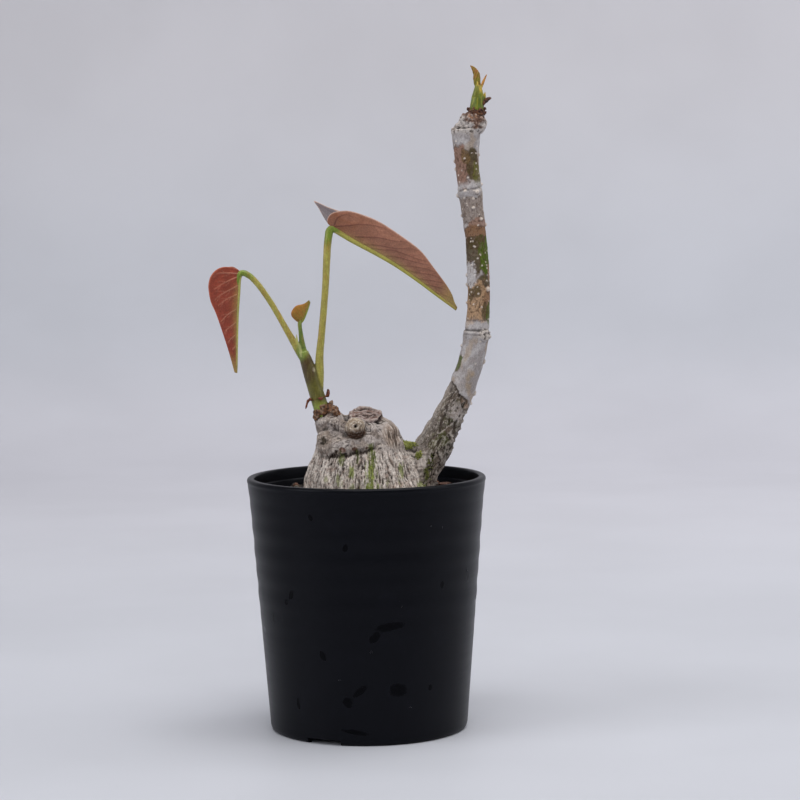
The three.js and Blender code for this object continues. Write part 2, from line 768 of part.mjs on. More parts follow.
// Brown scales in a ring around the bud's foot, one of them curling out
function makeTipCollar() {
  const random = seeded(31);
  const outer = 3.5;
  const ring = new THREE.CylinderGeometry(outer - 0.4, outer, 2.2, 16).rotateX(Math.PI / 2);
  const pieces = [toSolid(ring.translate(TIP.x, TIP.y, TIP_SEAT_Z + 1.1))];
  const scales = 7;
  for (let i = 0; i < scales; i++) {
    const angle = (2 * Math.PI * (i + 0.5)) / scales;
    const x = TIP.x + 2.9 * Math.cos(angle);
    const y = TIP.y + 2.9 * Math.sin(angle);
    pieces.push(crumb(x, y, TIP_SEAT_Z + 1.9 + 0.5 * random(), 0.8, random));
  }
  pieces.push(toSolid(limb(TIP_SCALE, { sides: 7, steps: 6, flat: 1.3 })));
  return join(pieces).subtract(below(TIP_SEAT_Z)).subtract(makeBud(GAP));
}

const plant = new THREE.Group();
plant.add(
  toMesh("pot", makePot(), COLOURS.pot, 0.45),
  toMesh("soil", makeSoil(), COLOURS.soil, 0.95),
  toMesh("bark_chip", makeChip(), COLOURS.chip, 0.9),
  toMesh("caudex", makeCaudex(), COLOURS.bark, 0.85),
  toMesh("woody_stem", makeWoodyStem(), COLOURS.branch, 0.8),
  toMesh("shoot_collar", makeShootCollar(), COLOURS.crust, 0.9),
  toMesh("dried_stipules", makeDriedStipules(), COLOURS.crust, 0.8),
  toMesh("green_shoot", makeShoot().subtract(below(SHOOT_SEAT_Z)), COLOURS.shoot, 0.5),
  toMesh("leaf_left", makeLeaf(LEAF_LEFT), COLOURS.leafLeft, 0.6),
  toMesh("leaf_right", makeLeaf(LEAF_RIGHT), COLOURS.leafRight, 0.6),
  toMesh("leaf_young", makeLeaf(LEAF_YOUNG), COLOURS.leafYoung, 0.55),
  toMesh("tip_collar", makeTipCollar(), COLOURS.crust, 0.9),
  toMesh("tip_bud", makeBud().subtract(below(TIP_SEAT_Z)), COLOURS.bud, 0.5),
  toMesh("tip_leaf", makeTipLeaf(), COLOURS.tipLeaf, 0.55),
  toMesh("tip_stipule", makeTipStipule(), COLOURS.tipLeaf, 0.6),
);

export default plant;
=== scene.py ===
import json
import math
import random

import bmesh
import bpy
import numpy as np
from mathutils import Matrix, Vector, noise

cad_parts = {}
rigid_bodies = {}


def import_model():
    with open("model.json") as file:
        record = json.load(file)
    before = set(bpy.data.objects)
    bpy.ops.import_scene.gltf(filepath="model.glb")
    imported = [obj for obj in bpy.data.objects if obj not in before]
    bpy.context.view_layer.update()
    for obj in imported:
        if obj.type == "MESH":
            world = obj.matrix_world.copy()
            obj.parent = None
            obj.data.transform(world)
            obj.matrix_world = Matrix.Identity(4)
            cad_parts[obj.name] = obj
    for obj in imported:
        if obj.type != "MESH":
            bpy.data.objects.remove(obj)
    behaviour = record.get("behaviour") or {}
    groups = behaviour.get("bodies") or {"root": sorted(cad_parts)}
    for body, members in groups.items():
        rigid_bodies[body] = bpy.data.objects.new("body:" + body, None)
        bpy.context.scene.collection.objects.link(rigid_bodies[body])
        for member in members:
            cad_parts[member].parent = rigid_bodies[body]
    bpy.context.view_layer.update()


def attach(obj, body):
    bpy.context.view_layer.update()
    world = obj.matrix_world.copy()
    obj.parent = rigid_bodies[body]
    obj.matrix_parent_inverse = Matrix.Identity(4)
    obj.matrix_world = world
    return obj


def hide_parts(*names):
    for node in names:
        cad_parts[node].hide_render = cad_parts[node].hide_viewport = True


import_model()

# Sizes and places are in millimetres, in the frame of the model, and MM turns them into metres.
MM = 0.001


# Numbers and curves
def smooth(low, high, x):
    """0 below low, 1 above high, and a smooth rise between."""
    share = np.clip((x - low) / (high - low), 0, 1)
    return share * share * (3 - 2 * share)


def fall(low, high, x):
    """1 below low, 0 above high, and a smooth fall between."""
    return 1 - smooth(low, high, x)


def bell(x, width):
    """1 where x is 0, falling off to both sides over the width."""
    return np.exp(-((x / width) ** 2))


def turns(count):
    """Angles evenly once round."""
    return np.linspace(0, 2 * math.pi, count, endpoint=False)


def rotation(angle, axis):
    return np.array(Matrix.Rotation(angle, 3, axis))


def lerp(a, b, share):
    return a + (b - a) * share


def unit(rows):
    return rows / np.linalg.norm(rows, axis=-1, keepdims=True)


def spline(rows, t):
    """Rows on the smooth line through the given rows, at shares t of the line."""
    rows = np.asarray(rows, float)
    ends = np.vstack([2 * rows[0] - rows[1], rows, 2 * rows[-1] - rows[-2]])
    place = np.clip(t, 0, 1) * (len(rows) - 1)
    i = np.minimum(place.astype(int), len(rows) - 2)
    w = (place - i)[:, None]
    a, b, c, d = (ends[i + k] for k in range(4))
    cubic = (2 * a - 5 * b + 4 * c - d) * w**2 + (3 * b - a - 3 * c + d) * w**3
    return 0.5 * (2 * b + (c - a) * w + cubic)


def evenly(rows, t):
    """The same line, at shares t of its real length."""
    fine = spline(rows, np.linspace(0, 1, 400))
    steps = np.linalg.norm(np.diff(fine, axis=0), axis=1)
    length = np.concatenate([[0], np.cumsum(steps)])
    return np.column_stack([np.interp(t * length[-1], length, axis) for axis in fine.T])


def rough(points, size, octaves=3, seed=0.0):
    """Fractal noise about zero. size is one number, or one for each axis."""
    scaled = np.asarray(points) / size + seed
    return np.array([noise.fractal(p, 1.0, 2.0, octaves) for p in scaled.tolist()])


def cells(points, size, seed):
    """Distance to the nearest of scattered seeds, about one seed in each cube of that size."""
    scaled = np.asarray(points) / size + seed
    return np.array([noise.voronoi(p)[0][0] for p in scaled.tolist()])


def blend(a, b, softness):
    """The smooth union of two distances."""
    share = np.clip(0.5 + 0.5 * (b - a) / softness, 0, 1)
    return lerp(b, a, share) - softness * share * (1 - share)


def rod(points, start, end, radii=(0, 0)):
    """Distance to a round rod with round ends."""
    start, line = np.array(start), np.subtract(end, start)
    share = np.clip((points - start) @ line / (line @ line), 0, 1)
    nearest = start + share[:, None] * line
    return np.linalg.norm(points - nearest, axis=1) - lerp(radii[0], radii[1], share)


# Meshes
def joined(parts):
    """One list of vertices and faces from several."""
    verts, faces, start = [], [], 0
    for some_verts, some_faces in parts:
        verts.append(some_verts)
        faces += [tuple(i + start for i in face) for face in some_faces]
        start += len(some_verts)
    return np.vstack(verts), faces


def band_faces(rows, columns):
    """Quads of a grid whose columns close on themselves."""
    faces = []
    for low in range(0, (rows - 1) * columns, columns):
        high = low + columns
        for j in range(columns):
            k = (j + 1) % columns
            faces.append((low + j, low + k, high + k, high + j))
    return faces


def closed_faces(rows, columns):
    """The same grid with a fan over each end, whose middles are the next two vertices."""
    faces = band_faces(rows, columns)
    first = rows * columns
    end = first - columns
    for j in range(columns):
        k = (j + 1) % columns
        faces += [(first, k, j), (first + 1, end + j, end + k)]
    return faces


def lathe(profile, angle):
    """Level rings of points round the Z axis, from rows of (radius, height)."""
    radius, height = np.array(profile, float).T[:, :, None]
    x, y = radius * np.cos(angle), radius * np.sin(angle)
    return np.stack([x, y, height + np.zeros_like(x)], -1).reshape(-1, 3)


def tube(stations, sides, steps, flat=1.0, relief=None):
    """A closed round stem through stations of (x, y, z, radius). flat narrows it in depth."""
    rows = spline(stations, np.linspace(0, 1, steps + 1))
    middle = rows[:, :3]
    tangent = unit(np.gradient(middle, axis=0))
    across = unit(np.array([0.0, 1.0, 0.0]) - tangent * tangent[:, 1:2])
    out = np.cross(across, tangent)
    angle = turns(sides)[None, :, None]
    reach = rows[:, None, 3:4] + np.zeros_like(angle)
    if relief is not None:
        reach = reach + relief(middle[:, None, :], angle)
    ring = across[:, None, :] * np.sin(angle) * reach * flat + out[:, None, :] * np.cos(angle) * reach
    verts = (middle[:, None, :] + ring).reshape(-1, 3)
    return np.vstack([verts, middle[:1], middle[-1:]]), closed_faces(steps + 1, sides)


def ball(middle, radii, subdivisions):
    """A sphere of even triangles, stretched to the three radii."""
    mesh = bmesh.new()
    bmesh.ops.create_icosphere(mesh, subdivisions=subdivisions, radius=1)
    verts = np.array([v.co for v in mesh.verts])
    faces = [tuple(v.index for v in f.verts) for f in mesh.faces]
    mesh.free()
    return verts * radii + middle, faces


def crumb(middle, radius, draw):
    """A small lump with a rough, stretched shape."""
    verts, faces = ball((0, 0, 0), [radius * draw.uniform(0.7, 1.25) for _ in range(3)], 2)
    turn = rotation(draw.uniform(0, 6), Vector([draw.gauss(0, 1) for _ in range(3)]))
    verts = verts @ turn.T
    verts *= 1 + 0.35 * rough(verts + 7 * draw.random(), 0.9 * radius, 2)[:, None]
    return verts + middle, faces


def placed(name, data):
    """A new object in the scene."""
    made = bpy.data.objects.new(name, data)
    bpy.context.scene.collection.objects.link(made)
    return made


def piece(name, verts, faces):
    """An object from vertices in millimetres."""
    mesh = bpy.data.meshes.new(name)
    mesh.from_pydata((np.asarray(verts) * MM).tolist(), [], faces)
    mesh.shade_smooth()
    return placed(name, mesh)


def settle(made):
    """Makes the modifiers part of the mesh."""
    graph = bpy.context.evaluated_depsgraph_get()
    mesh = bpy.data.meshes.new_from_object(made.evaluated_get(graph))
    made.modifiers.clear()
    made.data = mesh
    mesh.shade_smooth()
    return made


def fuse(made, voxel, soften):
    """One even skin round everything in the mesh, eased a number of times."""
    skin = made.modifiers.new("skin", "REMESH")
    skin.mode = "VOXEL"
    skin.voxel_size = voxel * MM
    ease = made.modifiers.new("ease", "SMOOTH")
    ease.factor = 0.5
    ease.iterations = soften
    return settle(made)


def vectors(made, field):
    found = np.empty(len(made.data.vertices) * 3, np.float32)
    made.data.vertices.foreach_get(field, found)
    return found.reshape(-1, 3).astype(float)


def places(made):
    return vectors(made, "co") / MM


def reshape(made, verts):
    made.data.vertices.foreach_set("co", (verts * MM).astype(np.float32).ravel())
    made.data.update()


def lift(made, heights):
    """Moves each vertex out along its normal."""
    reshape(made, places(made) + vectors(made, "normal") * heights[:, None])


def hollows(made, rounds):
    """How far each vertex lies below the surface smoothed over its neighbours, in mm."""
    points = places(made)
    count = len(points)
    ends = np.empty(2 * len(made.data.edges), int)
    made.data.edges.foreach_get("vertices", ends)
    a, b = ends.reshape(-1, 2).T
    joins = np.bincount(a, minlength=count) + np.bincount(b, minlength=count)
    smoothed = points
    for _ in range(rounds):
        sums = [np.bincount(a, row[b], count) + np.bincount(b, row[a], count) for row in smoothed.T]
        smoothed = np.column_stack(sums) / joins[:, None]
    return ((smoothed - points) * vectors(made, "normal")).sum(1)


# Colours
def colour(red, green, blue):
    """Linear numbers of a colour that is written in 0..255."""
    shares = np.array([red, green, blue]) / 255
    return np.where(shares <= 0.04045, shares / 12.92, ((shares + 0.055) / 1.055) ** 2.4)


def flood(count, shade):
    return np.tile(shade, (count, 1))


def cover(base, shade, mask):
    """Lays a colour over the colours of the vertices, as strongly as the mask says."""
    return base + (shade - base) * np.clip(mask, 0, 1)[:, None]


def layered(base, layers):
    """Lays several colours one over another, each given with its mask."""
    for shade, mask in layers:
        base = cover(base, shade, mask)
    return base


def tint(made, colours):
    """Keeps a colour for each vertex, which the finish reads."""
    layer = made.data.color_attributes.new("tint", "FLOAT_COLOR", "POINT")
    rgba = np.column_stack([np.clip(colours, 0, 1), np.ones(len(colours))])
    layer.data.foreach_set("color", rgba.astype(np.float32).ravel())


class Finish:
    """A material, and the few kinds of node that its pattern is wired from."""

    def __init__(self, name, **values):
        self.material = bpy.data.materials.new(name)
        self.material.use_nodes = True
        self.tree = self.material.node_tree
        self.shader = self.tree.nodes["Principled BSDF"]
        for socket, value in values.items():
            self.shader.inputs[socket.replace("_", " ")].default_value = value
        self.objects = self.add("ShaderNodeTexCoord").outputs["Object"]
        self.place = self.stretch(1, 1, 1)
        self.normal = None

    def add(self, kind, inputs=None, **settings):
        node = self.tree.nodes.new(kind)
        for key, value in settings.items():
            setattr(node, key, value)
        for key, value in (inputs or {}).items():
            self.feed(node.inputs[key], value)
        return node

    def feed(self, socket, value):
        if isinstance(value, bpy.types.NodeSocket):
            self.tree.links.new(value, socket)
        else:
            socket.default_value = value

    def stretch(self, x, y, z):
        """The place on the object in millimetres, divided by these three lengths."""
        scale = [1 / (MM * size) for size in (x, y, z)]
        return self.add("ShaderNodeMapping", {"Vector": self.objects, "Scale": scale}).outputs[0]

    def noise(self, size, detail=3.0, place=None, warp=0.0):
        inputs = {"Vector": place or self.place, "Scale": 1 / size, "Detail": detail, "Distortion": warp}
        return self.add("ShaderNodeTexNoise", inputs).outputs["Fac"]

    def cells(self, size, feature="F1"):
        inputs = {"Vector": self.place, "Scale": 1 / size}
        return self.add("ShaderNodeTexVoronoi", inputs, feature=feature).outputs["Distance"]

    def math(self, operation, a, b=0.0):
        return self.add("ShaderNodeMath", {0: a, 1: b}, operation=operation).outputs[0]

    def vector(self, operation, a, b):
        return self.add("ShaderNodeVectorMath", {0: a, 1: b}, operation=operation).outputs[0]

    def span(self, value, low, high, start=0.0, end=1.0):
        """The value, moved smoothly from start to end as it goes from low to high."""
        inputs = {"Value": value, "From Min": low, "From Max": high, "To Min": start, "To Max": end}
        return self.add("ShaderNodeMapRange", inputs, interpolation_type="SMOOTHSTEP").outputs[0]

    def mix(self, a, b, share, how="MIX"):
        inputs = {0: share, 6: self.rgba(a), 7: self.rgba(b)}
        return self.add("ShaderNodeMix", inputs, data_type="RGBA", blend_type=how).outputs[2]

    def rgba(self, value):
        return value if isinstance(value, bpy.types.NodeSocket) else [*value, 1.0]

    def grey(self, value):
        """A number as a colour, to multiply another by."""
        return self.add("ShaderNodeCombineColor", {0: value, 1: value, 2: value}).outputs[0]

    def shaded(self, base, value, low, high, dark, light):
        """The base, darkened and lightened as the value goes from low to high."""
        pattern = self.grey(self.span(value, low, high, dark, light))
        return self.mix(base, pattern, 1.0, "MULTIPLY")

    def tint(self):
        return self.add("ShaderNodeAttribute", attribute_name="tint").outputs["Color"]

    def bump(self, height, depth):
        """Adds relief to the normal. depth is in millimetres."""
        inputs = {"Height": height, "Strength": 1.0, "Distance": depth * MM}
        if self.normal is not None:
            inputs["Normal"] = self.normal
        self.normal = self.add("ShaderNodeBump", inputs).outputs["Normal"]

    def put(self, base, roughness=None):
        """The material, once its colour, its relief and perhaps its roughness are wired in."""
        self.feed(self.shader.inputs["Base Color"], base)
        self.feed(self.shader.inputs["Normal"], self.normal)
        if roughness is not None:
            self.feed(self.shader.inputs["Roughness"], roughness)
        return self.material


def dress(made, finish, slot, *nodes):
    """Gives a piece its finish, and its place in the model."""
    made.data.materials.clear()
    made.data.materials.append(finish)
    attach(made, "root")
    if nodes:
        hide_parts(*nodes)


# The pot
RIM_RADIUS = 45
POT_HEIGHT = 95.5
LIP_HEIGHT = 1.7
LIP_WALL = 2.7
LEDGE_Z = 91
WALL = 2.1
FOOT_RADIUS = 37.2
FOOT_WIDTH = 2.4
BASE_RISE = 2.2
BASE_WALL = 1.8
PAD_RADIUS = 12
DRAIN_HOLES = 6
DRAIN_RADIUS = 3.2
DRAIN_CIRCLE = 24
NOTCHES = 3
NOTCH_WIDTH = 13.5
NOTCH_ANGLE = -26.5
SOIL_Z = 88.5
FLOOR_Z = BASE_RISE + BASE_WALL
POT_COLUMNS = 240
NOTCH_HALF = math.asin(0.5 * NOTCH_WIDTH / FOOT_RADIUS)
LIP_ROUND = 1.1
LIP_EDGE = 0.7


def wall_radius(z):
    slope = (RIM_RADIUS - 0.5 - FOOT_RADIUS) / (POT_HEIGHT - LIP_HEIGHT)
    return FOOT_RADIUS + slope * z + 0.3 * smooth(84, 93, z)


def inner_radius(z):
    return wall_radius(z) - WALL - 0.5 * smooth(80, LEDGE_Z, z)


def wall_ripple(z):
    """The faint waves that the moulding leaves round the wall."""
    fade = smooth(30, 56, z) * fall(86, 91, z)
    return fade * (0.1 * np.sin(0.75 * z + 0.8) + 0.05 * np.sin(0.41 * z))


def pot_profile():
    lip_z = POT_HEIGHT - LIP_HEIGHT
    lip_inner = RIM_RADIUS - LIP_WALL
    foot_inner = FOOT_RADIUS - FOOT_WIDTH
    foot = [
        (PAD_RADIUS, 0),
        (PAD_RADIUS + 0.25, 0.3),
        (PAD_RADIUS + 0.6, BASE_RISE),
        (foot_inner - 0.4, BASE_RISE),
        (foot_inner - 0.1, 0.3),
        (foot_inner + 0.2, 0),
        (FOOT_RADIUS - 1.3, 0),
        (FOOT_RADIUS - 0.8, 0.12),
        (FOOT_RADIUS - 0.35, 0.45),
        (FOOT_RADIUS - 0.1, 1),
    ]
    heights = np.arange(1.8, lip_z - 0.5, 0.9)
    outside = [(wall_radius(z) + wall_ripple(z), z) for z in heights]
    lip = [(wall_radius(lip_z - 0.4), lip_z - 0.4), (RIM_RADIUS - 0.12, lip_z - 0.05)]
    lip += [(RIM_RADIUS - 0.03, lip_z + 0.2), (RIM_RADIUS, lip_z + 0.5)]
    outer_middle = np.array([RIM_RADIUS - LIP_ROUND, POT_HEIGHT - LIP_ROUND])
    for turn in np.radians(np.arange(0, 91, 15)):
        lip.append(outer_middle + LIP_ROUND * np.array([math.cos(turn), math.sin(turn)]))
    inner_middle = np.array([lip_inner + LIP_EDGE, POT_HEIGHT - LIP_EDGE])
    for turn in np.radians(np.arange(90, 181, 18)):
        lip.append(inner_middle + LIP_EDGE * np.array([math.cos(turn), math.sin(turn)]))
    lip += [(lip_inner, LEDGE_Z + 0.25), (lip_inner - 0.2, LEDGE_Z)]
    lip.append((inner_radius(LEDGE_Z) + 0.2, LEDGE_Z))
    inside = [(inner_radius(z), z) for z in np.linspace(LEDGE_Z - 0.25, FLOOR_Z + 1.5, 40)]
    corner = inner_radius(FLOOR_Z)
    inside += [(corner - 0.4, FLOOR_Z + 0.4), (corner - 1.4, FLOOR_Z)]
    return np.array(foot + outside + lip + inside)


def in_notch(angle):
    """Whether an angle lies within a notch of the foot."""
    first = math.radians(NOTCH_ANGLE - 90)
    turn = 2 * math.pi / NOTCHES
    off = np.abs((angle - first + turn / 2) % turn - turn / 2)
    return off < NOTCH_HALF


def pot_angles():
    """Angles of the pot's columns, with two close together at each edge of a notch."""
    angles = list(turns(POT_COLUMNS))
    for i in range(NOTCHES):
        middle = math.radians(NOTCH_ANGLE - 90 + 360 / NOTCHES * i)
        for edge in (middle - NOTCH_HALF, middle + NOTCH_HALF):
            angles += [(edge - 0.002) % (2 * math.pi), (edge + 0.002) % (2 * math.pi)]
    return np.array(sorted(angles))


def drain_rods():
    """Rods to cut the drain holes with."""
    holes = []
    for i in range(DRAIN_HOLES):
        turn = (i + 0.5) * 2 * math.pi / DRAIN_HOLES
        x, y = DRAIN_CIRCLE * math.cos(turn), DRAIN_CIRCLE * math.sin(turn)
        holes.append(tube([(x, y, -3, DRAIN_RADIUS), (x, y, 8, DRAIN_RADIUS)], 32, 1))
    return piece("holes", *joined(holes))


def make_pot():
    profile, angles = pot_profile(), pot_angles()
    verts = lathe(profile, angles)
    radius, height = profile.T[:, :, None]
    is_foot = (radius > FOOT_RADIUS - FOOT_WIDTH - 0.3) & (height < BASE_RISE - 0.2)
    verts[(is_foot & in_notch(angles)).ravel(), 2] = BASE_RISE - 0.2
    verts = np.vstack([verts, [[0, 0, 0]], [[0, 0, FLOOR_Z]]])
    pot = piece("pot_body", verts, closed_faces(len(profile), len(angles)))
    cutter = drain_rods()
    cut = pot.modifiers.new("holes", "BOOLEAN")
    cut.operation = "DIFFERENCE"
    cut.solver = "EXACT"
    cut.object = cutter
    settle(pot)
    bpy.data.objects.remove(cutter)
    pot.data.set_sharp_from_angle(angle=math.radians(35))
    return pot


MARK_DEPTH = 8

# Wet marks on the wall: middle, half width, half height, turn in degrees
WET_MARKS = [
    ((8.4, -39.7, 44.6), 5.6, 1.5, 8),
    ((2.9, -40.2, 40.9), 1.5, 2.6, -35),
    ((11.1, -37.1, 20.9), 3.2, 2.6, 0),
    ((-2.6, -38.7, 20.9), 3.4, 1.2, 38),
    ((-7.2, -37.8, 16.6), 1.7, 2.2, 20),
    ((-16.1, -36.4, 33.6), 1.1, 2.2, 30),
    ((-27.7, -30.8, 55.3), 1.1, 2.0, -30),
    ((-29.6, -28.9, 52.4), 0.9, 1.0, 0),
    ((-34.6, -21.1, 45.3), 0.8, 2.0, 5),
    ((-38.2, -11.5, 39.3), 0.9, 1.2, 0),
    ((37.1, -18.6, 59.4), 0.8, 1.6, -10),
    ((40.4, -6.5, 49.0), 0.9, 2.2, 10),
    ((-25.2, -27.9, 14.4), 0.8, 2.2, 5),
    ((-4.8, -37.2, 5.4), 5.2, 0.9, -8),
    ((22.8, -31.2, 20.6), 1.0, 1.2, 0),
    ((-20.0, -39.3, 84.8), 0.9, 1.3, 20),
    ((-7.4, -42.3, 74.1), 1.0, 1.6, -15),
    ((27.6, -31.2, 58.4), 0.9, 1.4, 0),
    ((20.0, 33.0, 40.0), 4.0, 1.6, 20),
    ((-14.0, 36.5, 58.0), 1.4, 2.6, -12),
    ((36.0, 14.0, 30.0), 1.6, 2.4, 18),
    ((-33.0, 20.0, 26.0), 2.2, 1.4, 0),
]


def wet_marks(finish):
    """1 within the ragged wet marks, 0 on the dry wall."""
    ragged = finish.math("MULTIPLY", finish.noise(2.2, 3.0), 0.9)
    wet = 0.0
    for (x, y, z), wide, high, turn in WET_MARKS:
        place = finish.vector("SUBTRACT", finish.objects, [MM * x, MM * y, MM * z])
        side = math.atan2(y, x) + math.pi / 2
        for axis, angle in (((0, 0, 1), -side), ((0, 1, 0), math.radians(turn))):
            inputs = {"Vector": place, "Axis": axis, "Angle": angle}
            place = finish.add("ShaderNodeVectorRotate", inputs, rotation_type="AXIS_ANGLE").outputs[0]
        place = finish.vector("MULTIPLY", place, [1 / (MM * size) for size in (wide, MARK_DEPTH, high)])
        reach = finish.add("ShaderNodeVectorMath", {0: place}, operation="LENGTH").outputs["Value"]
        mark = finish.span(finish.math("ADD", reach, ragged), 1.15, 1.65, 1, 0)
        wet = finish.math("MAXIMUM", mark, wet)
    return wet


def pot_finish():
    finish = Finish("pot_plastic", Roughness=0.42, IOR=1.49, Specular_Tint=(0.86, 0.88, 1.0, 1.0))
    wet = wet_marks(finish)
    streaks = finish.noise(1.0, 4.0, finish.stretch(14, 14, 1.6))
    dust = finish.span(finish.noise(9, 5.0), 0.5, 0.8)
    specks = finish.span(finish.cells(2.4), 0.05, 0.1, 1, 0)
    base = finish.mix(colour(8, 9, 13), colour(11, 12, 17), dust)
    base = finish.mix(base, colour(62, 60, 58), finish.math("MULTIPLY", specks, 0.12))
    base = finish.mix(base, colour(1, 1, 2), wet)
    roughness = 0.3
    for pattern, amount in ((streaks, 0.08), (dust, 0.05), (wet, -0.22)):
        roughness = finish.math("ADD", finish.math("MULTIPLY", pattern, amount), roughness)
    finish.feed(finish.shader.inputs["Specular IOR Level"], finish.span(wet, 0, 1, 0.12, 0.08))
    finish.bump(finish.noise(0.5, 3.0), 0.012)
    finish.bump(streaks, 0.03)
    return finish.put(base, roughness)


# Drops of water on the wall: angle from +X in degrees, height, half width, half height
DROPS = [
    (-88, 35.5, 0.9, 0.8), (-72, 52, 0.6, 0.7), (-57, 81, 0.6, 0.5), (-50, 80, 0.4, 0.7),
    (-28, 62, 0.5, 0.9), (-10, 50, 0.7, 1.1), (-140, 46, 0.5, 0.8), (-155, 38, 0.8, 0.7),
    (-118, 70, 0.5, 0.5), (-105, 25, 0.7, 0.9), (40, 44, 0.8, 1.0), (75, 63, 0.6, 0.8),
    (120, 31, 0.9, 1.0), (150, 58, 0.6, 0.9), (170, 72, 0.5, 0.6), (-66, 14, 0.6, 0.6),
]
DROP_SCALE = 0.7


def make_drops():
    parts = []
    for degrees, z, wide, high in DROPS:
        wide, high = DROP_SCALE * wide, DROP_SCALE * high
        verts, faces = ball((0, 0, 0), (0.4 * wide, wide, high), 3)
        verts[:, 1] *= 1 - 0.15 * verts[:, 2] / high
        verts[:, 0] += wall_radius(z) + wall_ripple(z) + 0.02
        spin = rotation(math.radians(degrees), "Z")
        parts.append((verts @ spin.T + (0, 0, z), faces))
    return piece("water_drops", *joined(parts))


def water_finish():
    finish = Finish("water", Roughness=0.04, IOR=1.33, Transmission_Weight=1.0)
    clear = finish.mix(colour(236, 240, 242), colour(250, 251, 252), finish.noise(0.6))
    finish.bump(finish.noise(0.7, 1.0), 0.01)
    return finish.put(clear)


# The soil
CHIP = np.array([30, 23, SOIL_Z + 0.3])
CRUMBS = 420
CRUMB_SPREAD = 40.5
CRUMB_REACH = 40.8


def make_soil():
    columns, rings = 300, 90
    angle = turns(columns)
    radii = np.linspace(0.4, inner_radius(SOIL_Z) - 0.3, rings)
    top = lathe([(radius, 0) for radius in radii], angle)
    humps = 0.5 * np.sin(0.31 * top[:, 0] + 1) * np.cos(0.27 * top[:, 1])
    grain = 0.9 * (0.55 - cells(top, 2.1, 3.0)) + 0.45 * (0.5 - cells(top, 0.9, 8.0))
    grain += 0.25 * rough(top, 0.6, 3)
    clear = smooth(3.6, 5.2, np.hypot(top[:, 0] - CHIP[0], top[:, 1] - CHIP[1]))
    top[:, 2] = SOIL_Z + (humps + grain) * clear
    outer = [(inner_radius(z) - 0.3, z) for z in (SOIL_Z - 2, 60, 30, FLOOR_Z + 2)]
    outer.append((inner_radius(FLOOR_Z) - 2.2, FLOOR_Z))
    verts = np.vstack([top, lathe(outer, angle), [[0, 0, SOIL_Z]], [[0, 0, FLOOR_Z]]])
    faces = closed_faces(rings + len(outer), columns)
    return piece("soil_fill", verts, [face[::-1] for face in faces])


def make_soil_bits():
    """Loose crumbs of bark, pumice and peat on the soil."""
    draw = random.Random(41)
    parts = []
    while len(parts) < CRUMBS:
        reach = CRUMB_SPREAD * math.sqrt(draw.random())
        turn = draw.uniform(0, 2 * math.pi)
        x, y = reach * math.cos(turn), reach * math.sin(turn)
        size = draw.uniform(0.35, 1.15)
        if math.hypot((x - 1) / 25, y / 20) < 0.95 or reach + size > CRUMB_REACH:
            continue
        parts.append(crumb((x, y, SOIL_Z + 0.1 + 0.35 * size), size, draw))
    bits = piece("soil_crumbs", *joined(parts))
    shades = [colour(52, 38, 30), colour(33, 25, 21), colour(96, 62, 44), colour(118, 112, 102)]
    kinds = [draw.choices(shades, (5, 6, 2, 1))[0] for _ in parts]
    tint(bits, np.repeat(kinds, [len(verts) for verts, _ in parts], axis=0))
    return bits


def soil_finish(name, tinted):
    finish = Finish(name, Roughness=0.85)
    if tinted:
        base = finish.tint()
    else:
        clods = finish.span(finish.noise(2.0, 4.0), 0.35, 0.7)
        fibres = finish.span(finish.noise(1.0, 2.0, finish.stretch(0.5, 3, 1)), 0.62, 0.7)
        base = finish.mix(colour(24, 18, 15), colour(62, 45, 35), clods)
        base = finish.mix(base, colour(98, 72, 54), finish.math("MULTIPLY", fibres, 0.6))
    base = finish.shaded(base, finish.noise(0.5, 3.0), 0.3, 0.7, 0.55, 1.25)
    finish.bump(finish.noise(0.45, 4.0), 0.25)
    return finish.put(base, finish.span(finish.noise(5, 2.0), 0.4, 0.65, 0.9, 0.55))


def make_chip():
    draw = random.Random(5)
    verts, faces = ball((0, 0, 0), (1, 1, 1), 5)
    square = np.sign(verts) * np.abs(verts) ** 0.55
    verts = unit(verts) * np.linalg.norm(square, axis=1)[:, None]
    verts *= (2.5, 1.55, 0.6)
    verts += 0.28 * rough(verts, (3.0, 0.7, 0.5), 3)[:, None] * unit(verts)
    verts[:, 2] = np.maximum(verts[:, 2], -0.6)
    turn = rotation(0.4 + 0.2 * draw.random(), "Z")
    return piece("chip", verts @ turn.T + CHIP + (0, 0, 0.62), faces)


def chip_finish():
    finish = Finish("bark_chip", Roughness=0.8)
    grain = finish.noise(1.0, 5.0, finish.stretch(2.6, 0.5, 0.5), 0.8)
    base = finish.mix(colour(46, 26, 20), colour(98, 64, 48), finish.span(grain, 0.32, 0.68))
    base = finish.mix(base, colour(48, 30, 24), finish.span(finish.noise(1.4), 0.58, 0.7))
    finish.bump(grain, 0.3)
    return finish.put(base, finish.span(grain, 0.3, 0.7, 0.9, 0.65))


# The swollen base: height, left edge, right edge and half depth of its rows
BODY_ROWS = np.array([
    (84, -20, 22, 17),
    (88.5, -23.9, 25.2, 20.2),
    (91.5, -23.7, 24.0, 19.9),
    (95, -23.2, 20.2, 18.9),
    (100, -21.3, 17.6, 17.2),
    (104, -19.5, 16.0, 15.6),
    (108, -18.6, 14.4, 14.2),
    (112, -16.8, 12.8, 12.6),
    (115, -14.8, 10.6, 11.2),
    (118, -12, 7, 9),
    (121, -9, 6.4, 7.0),
])
BODY_MIDDLE = np.array([-1, 0, 103])
BODY_REACH = 40

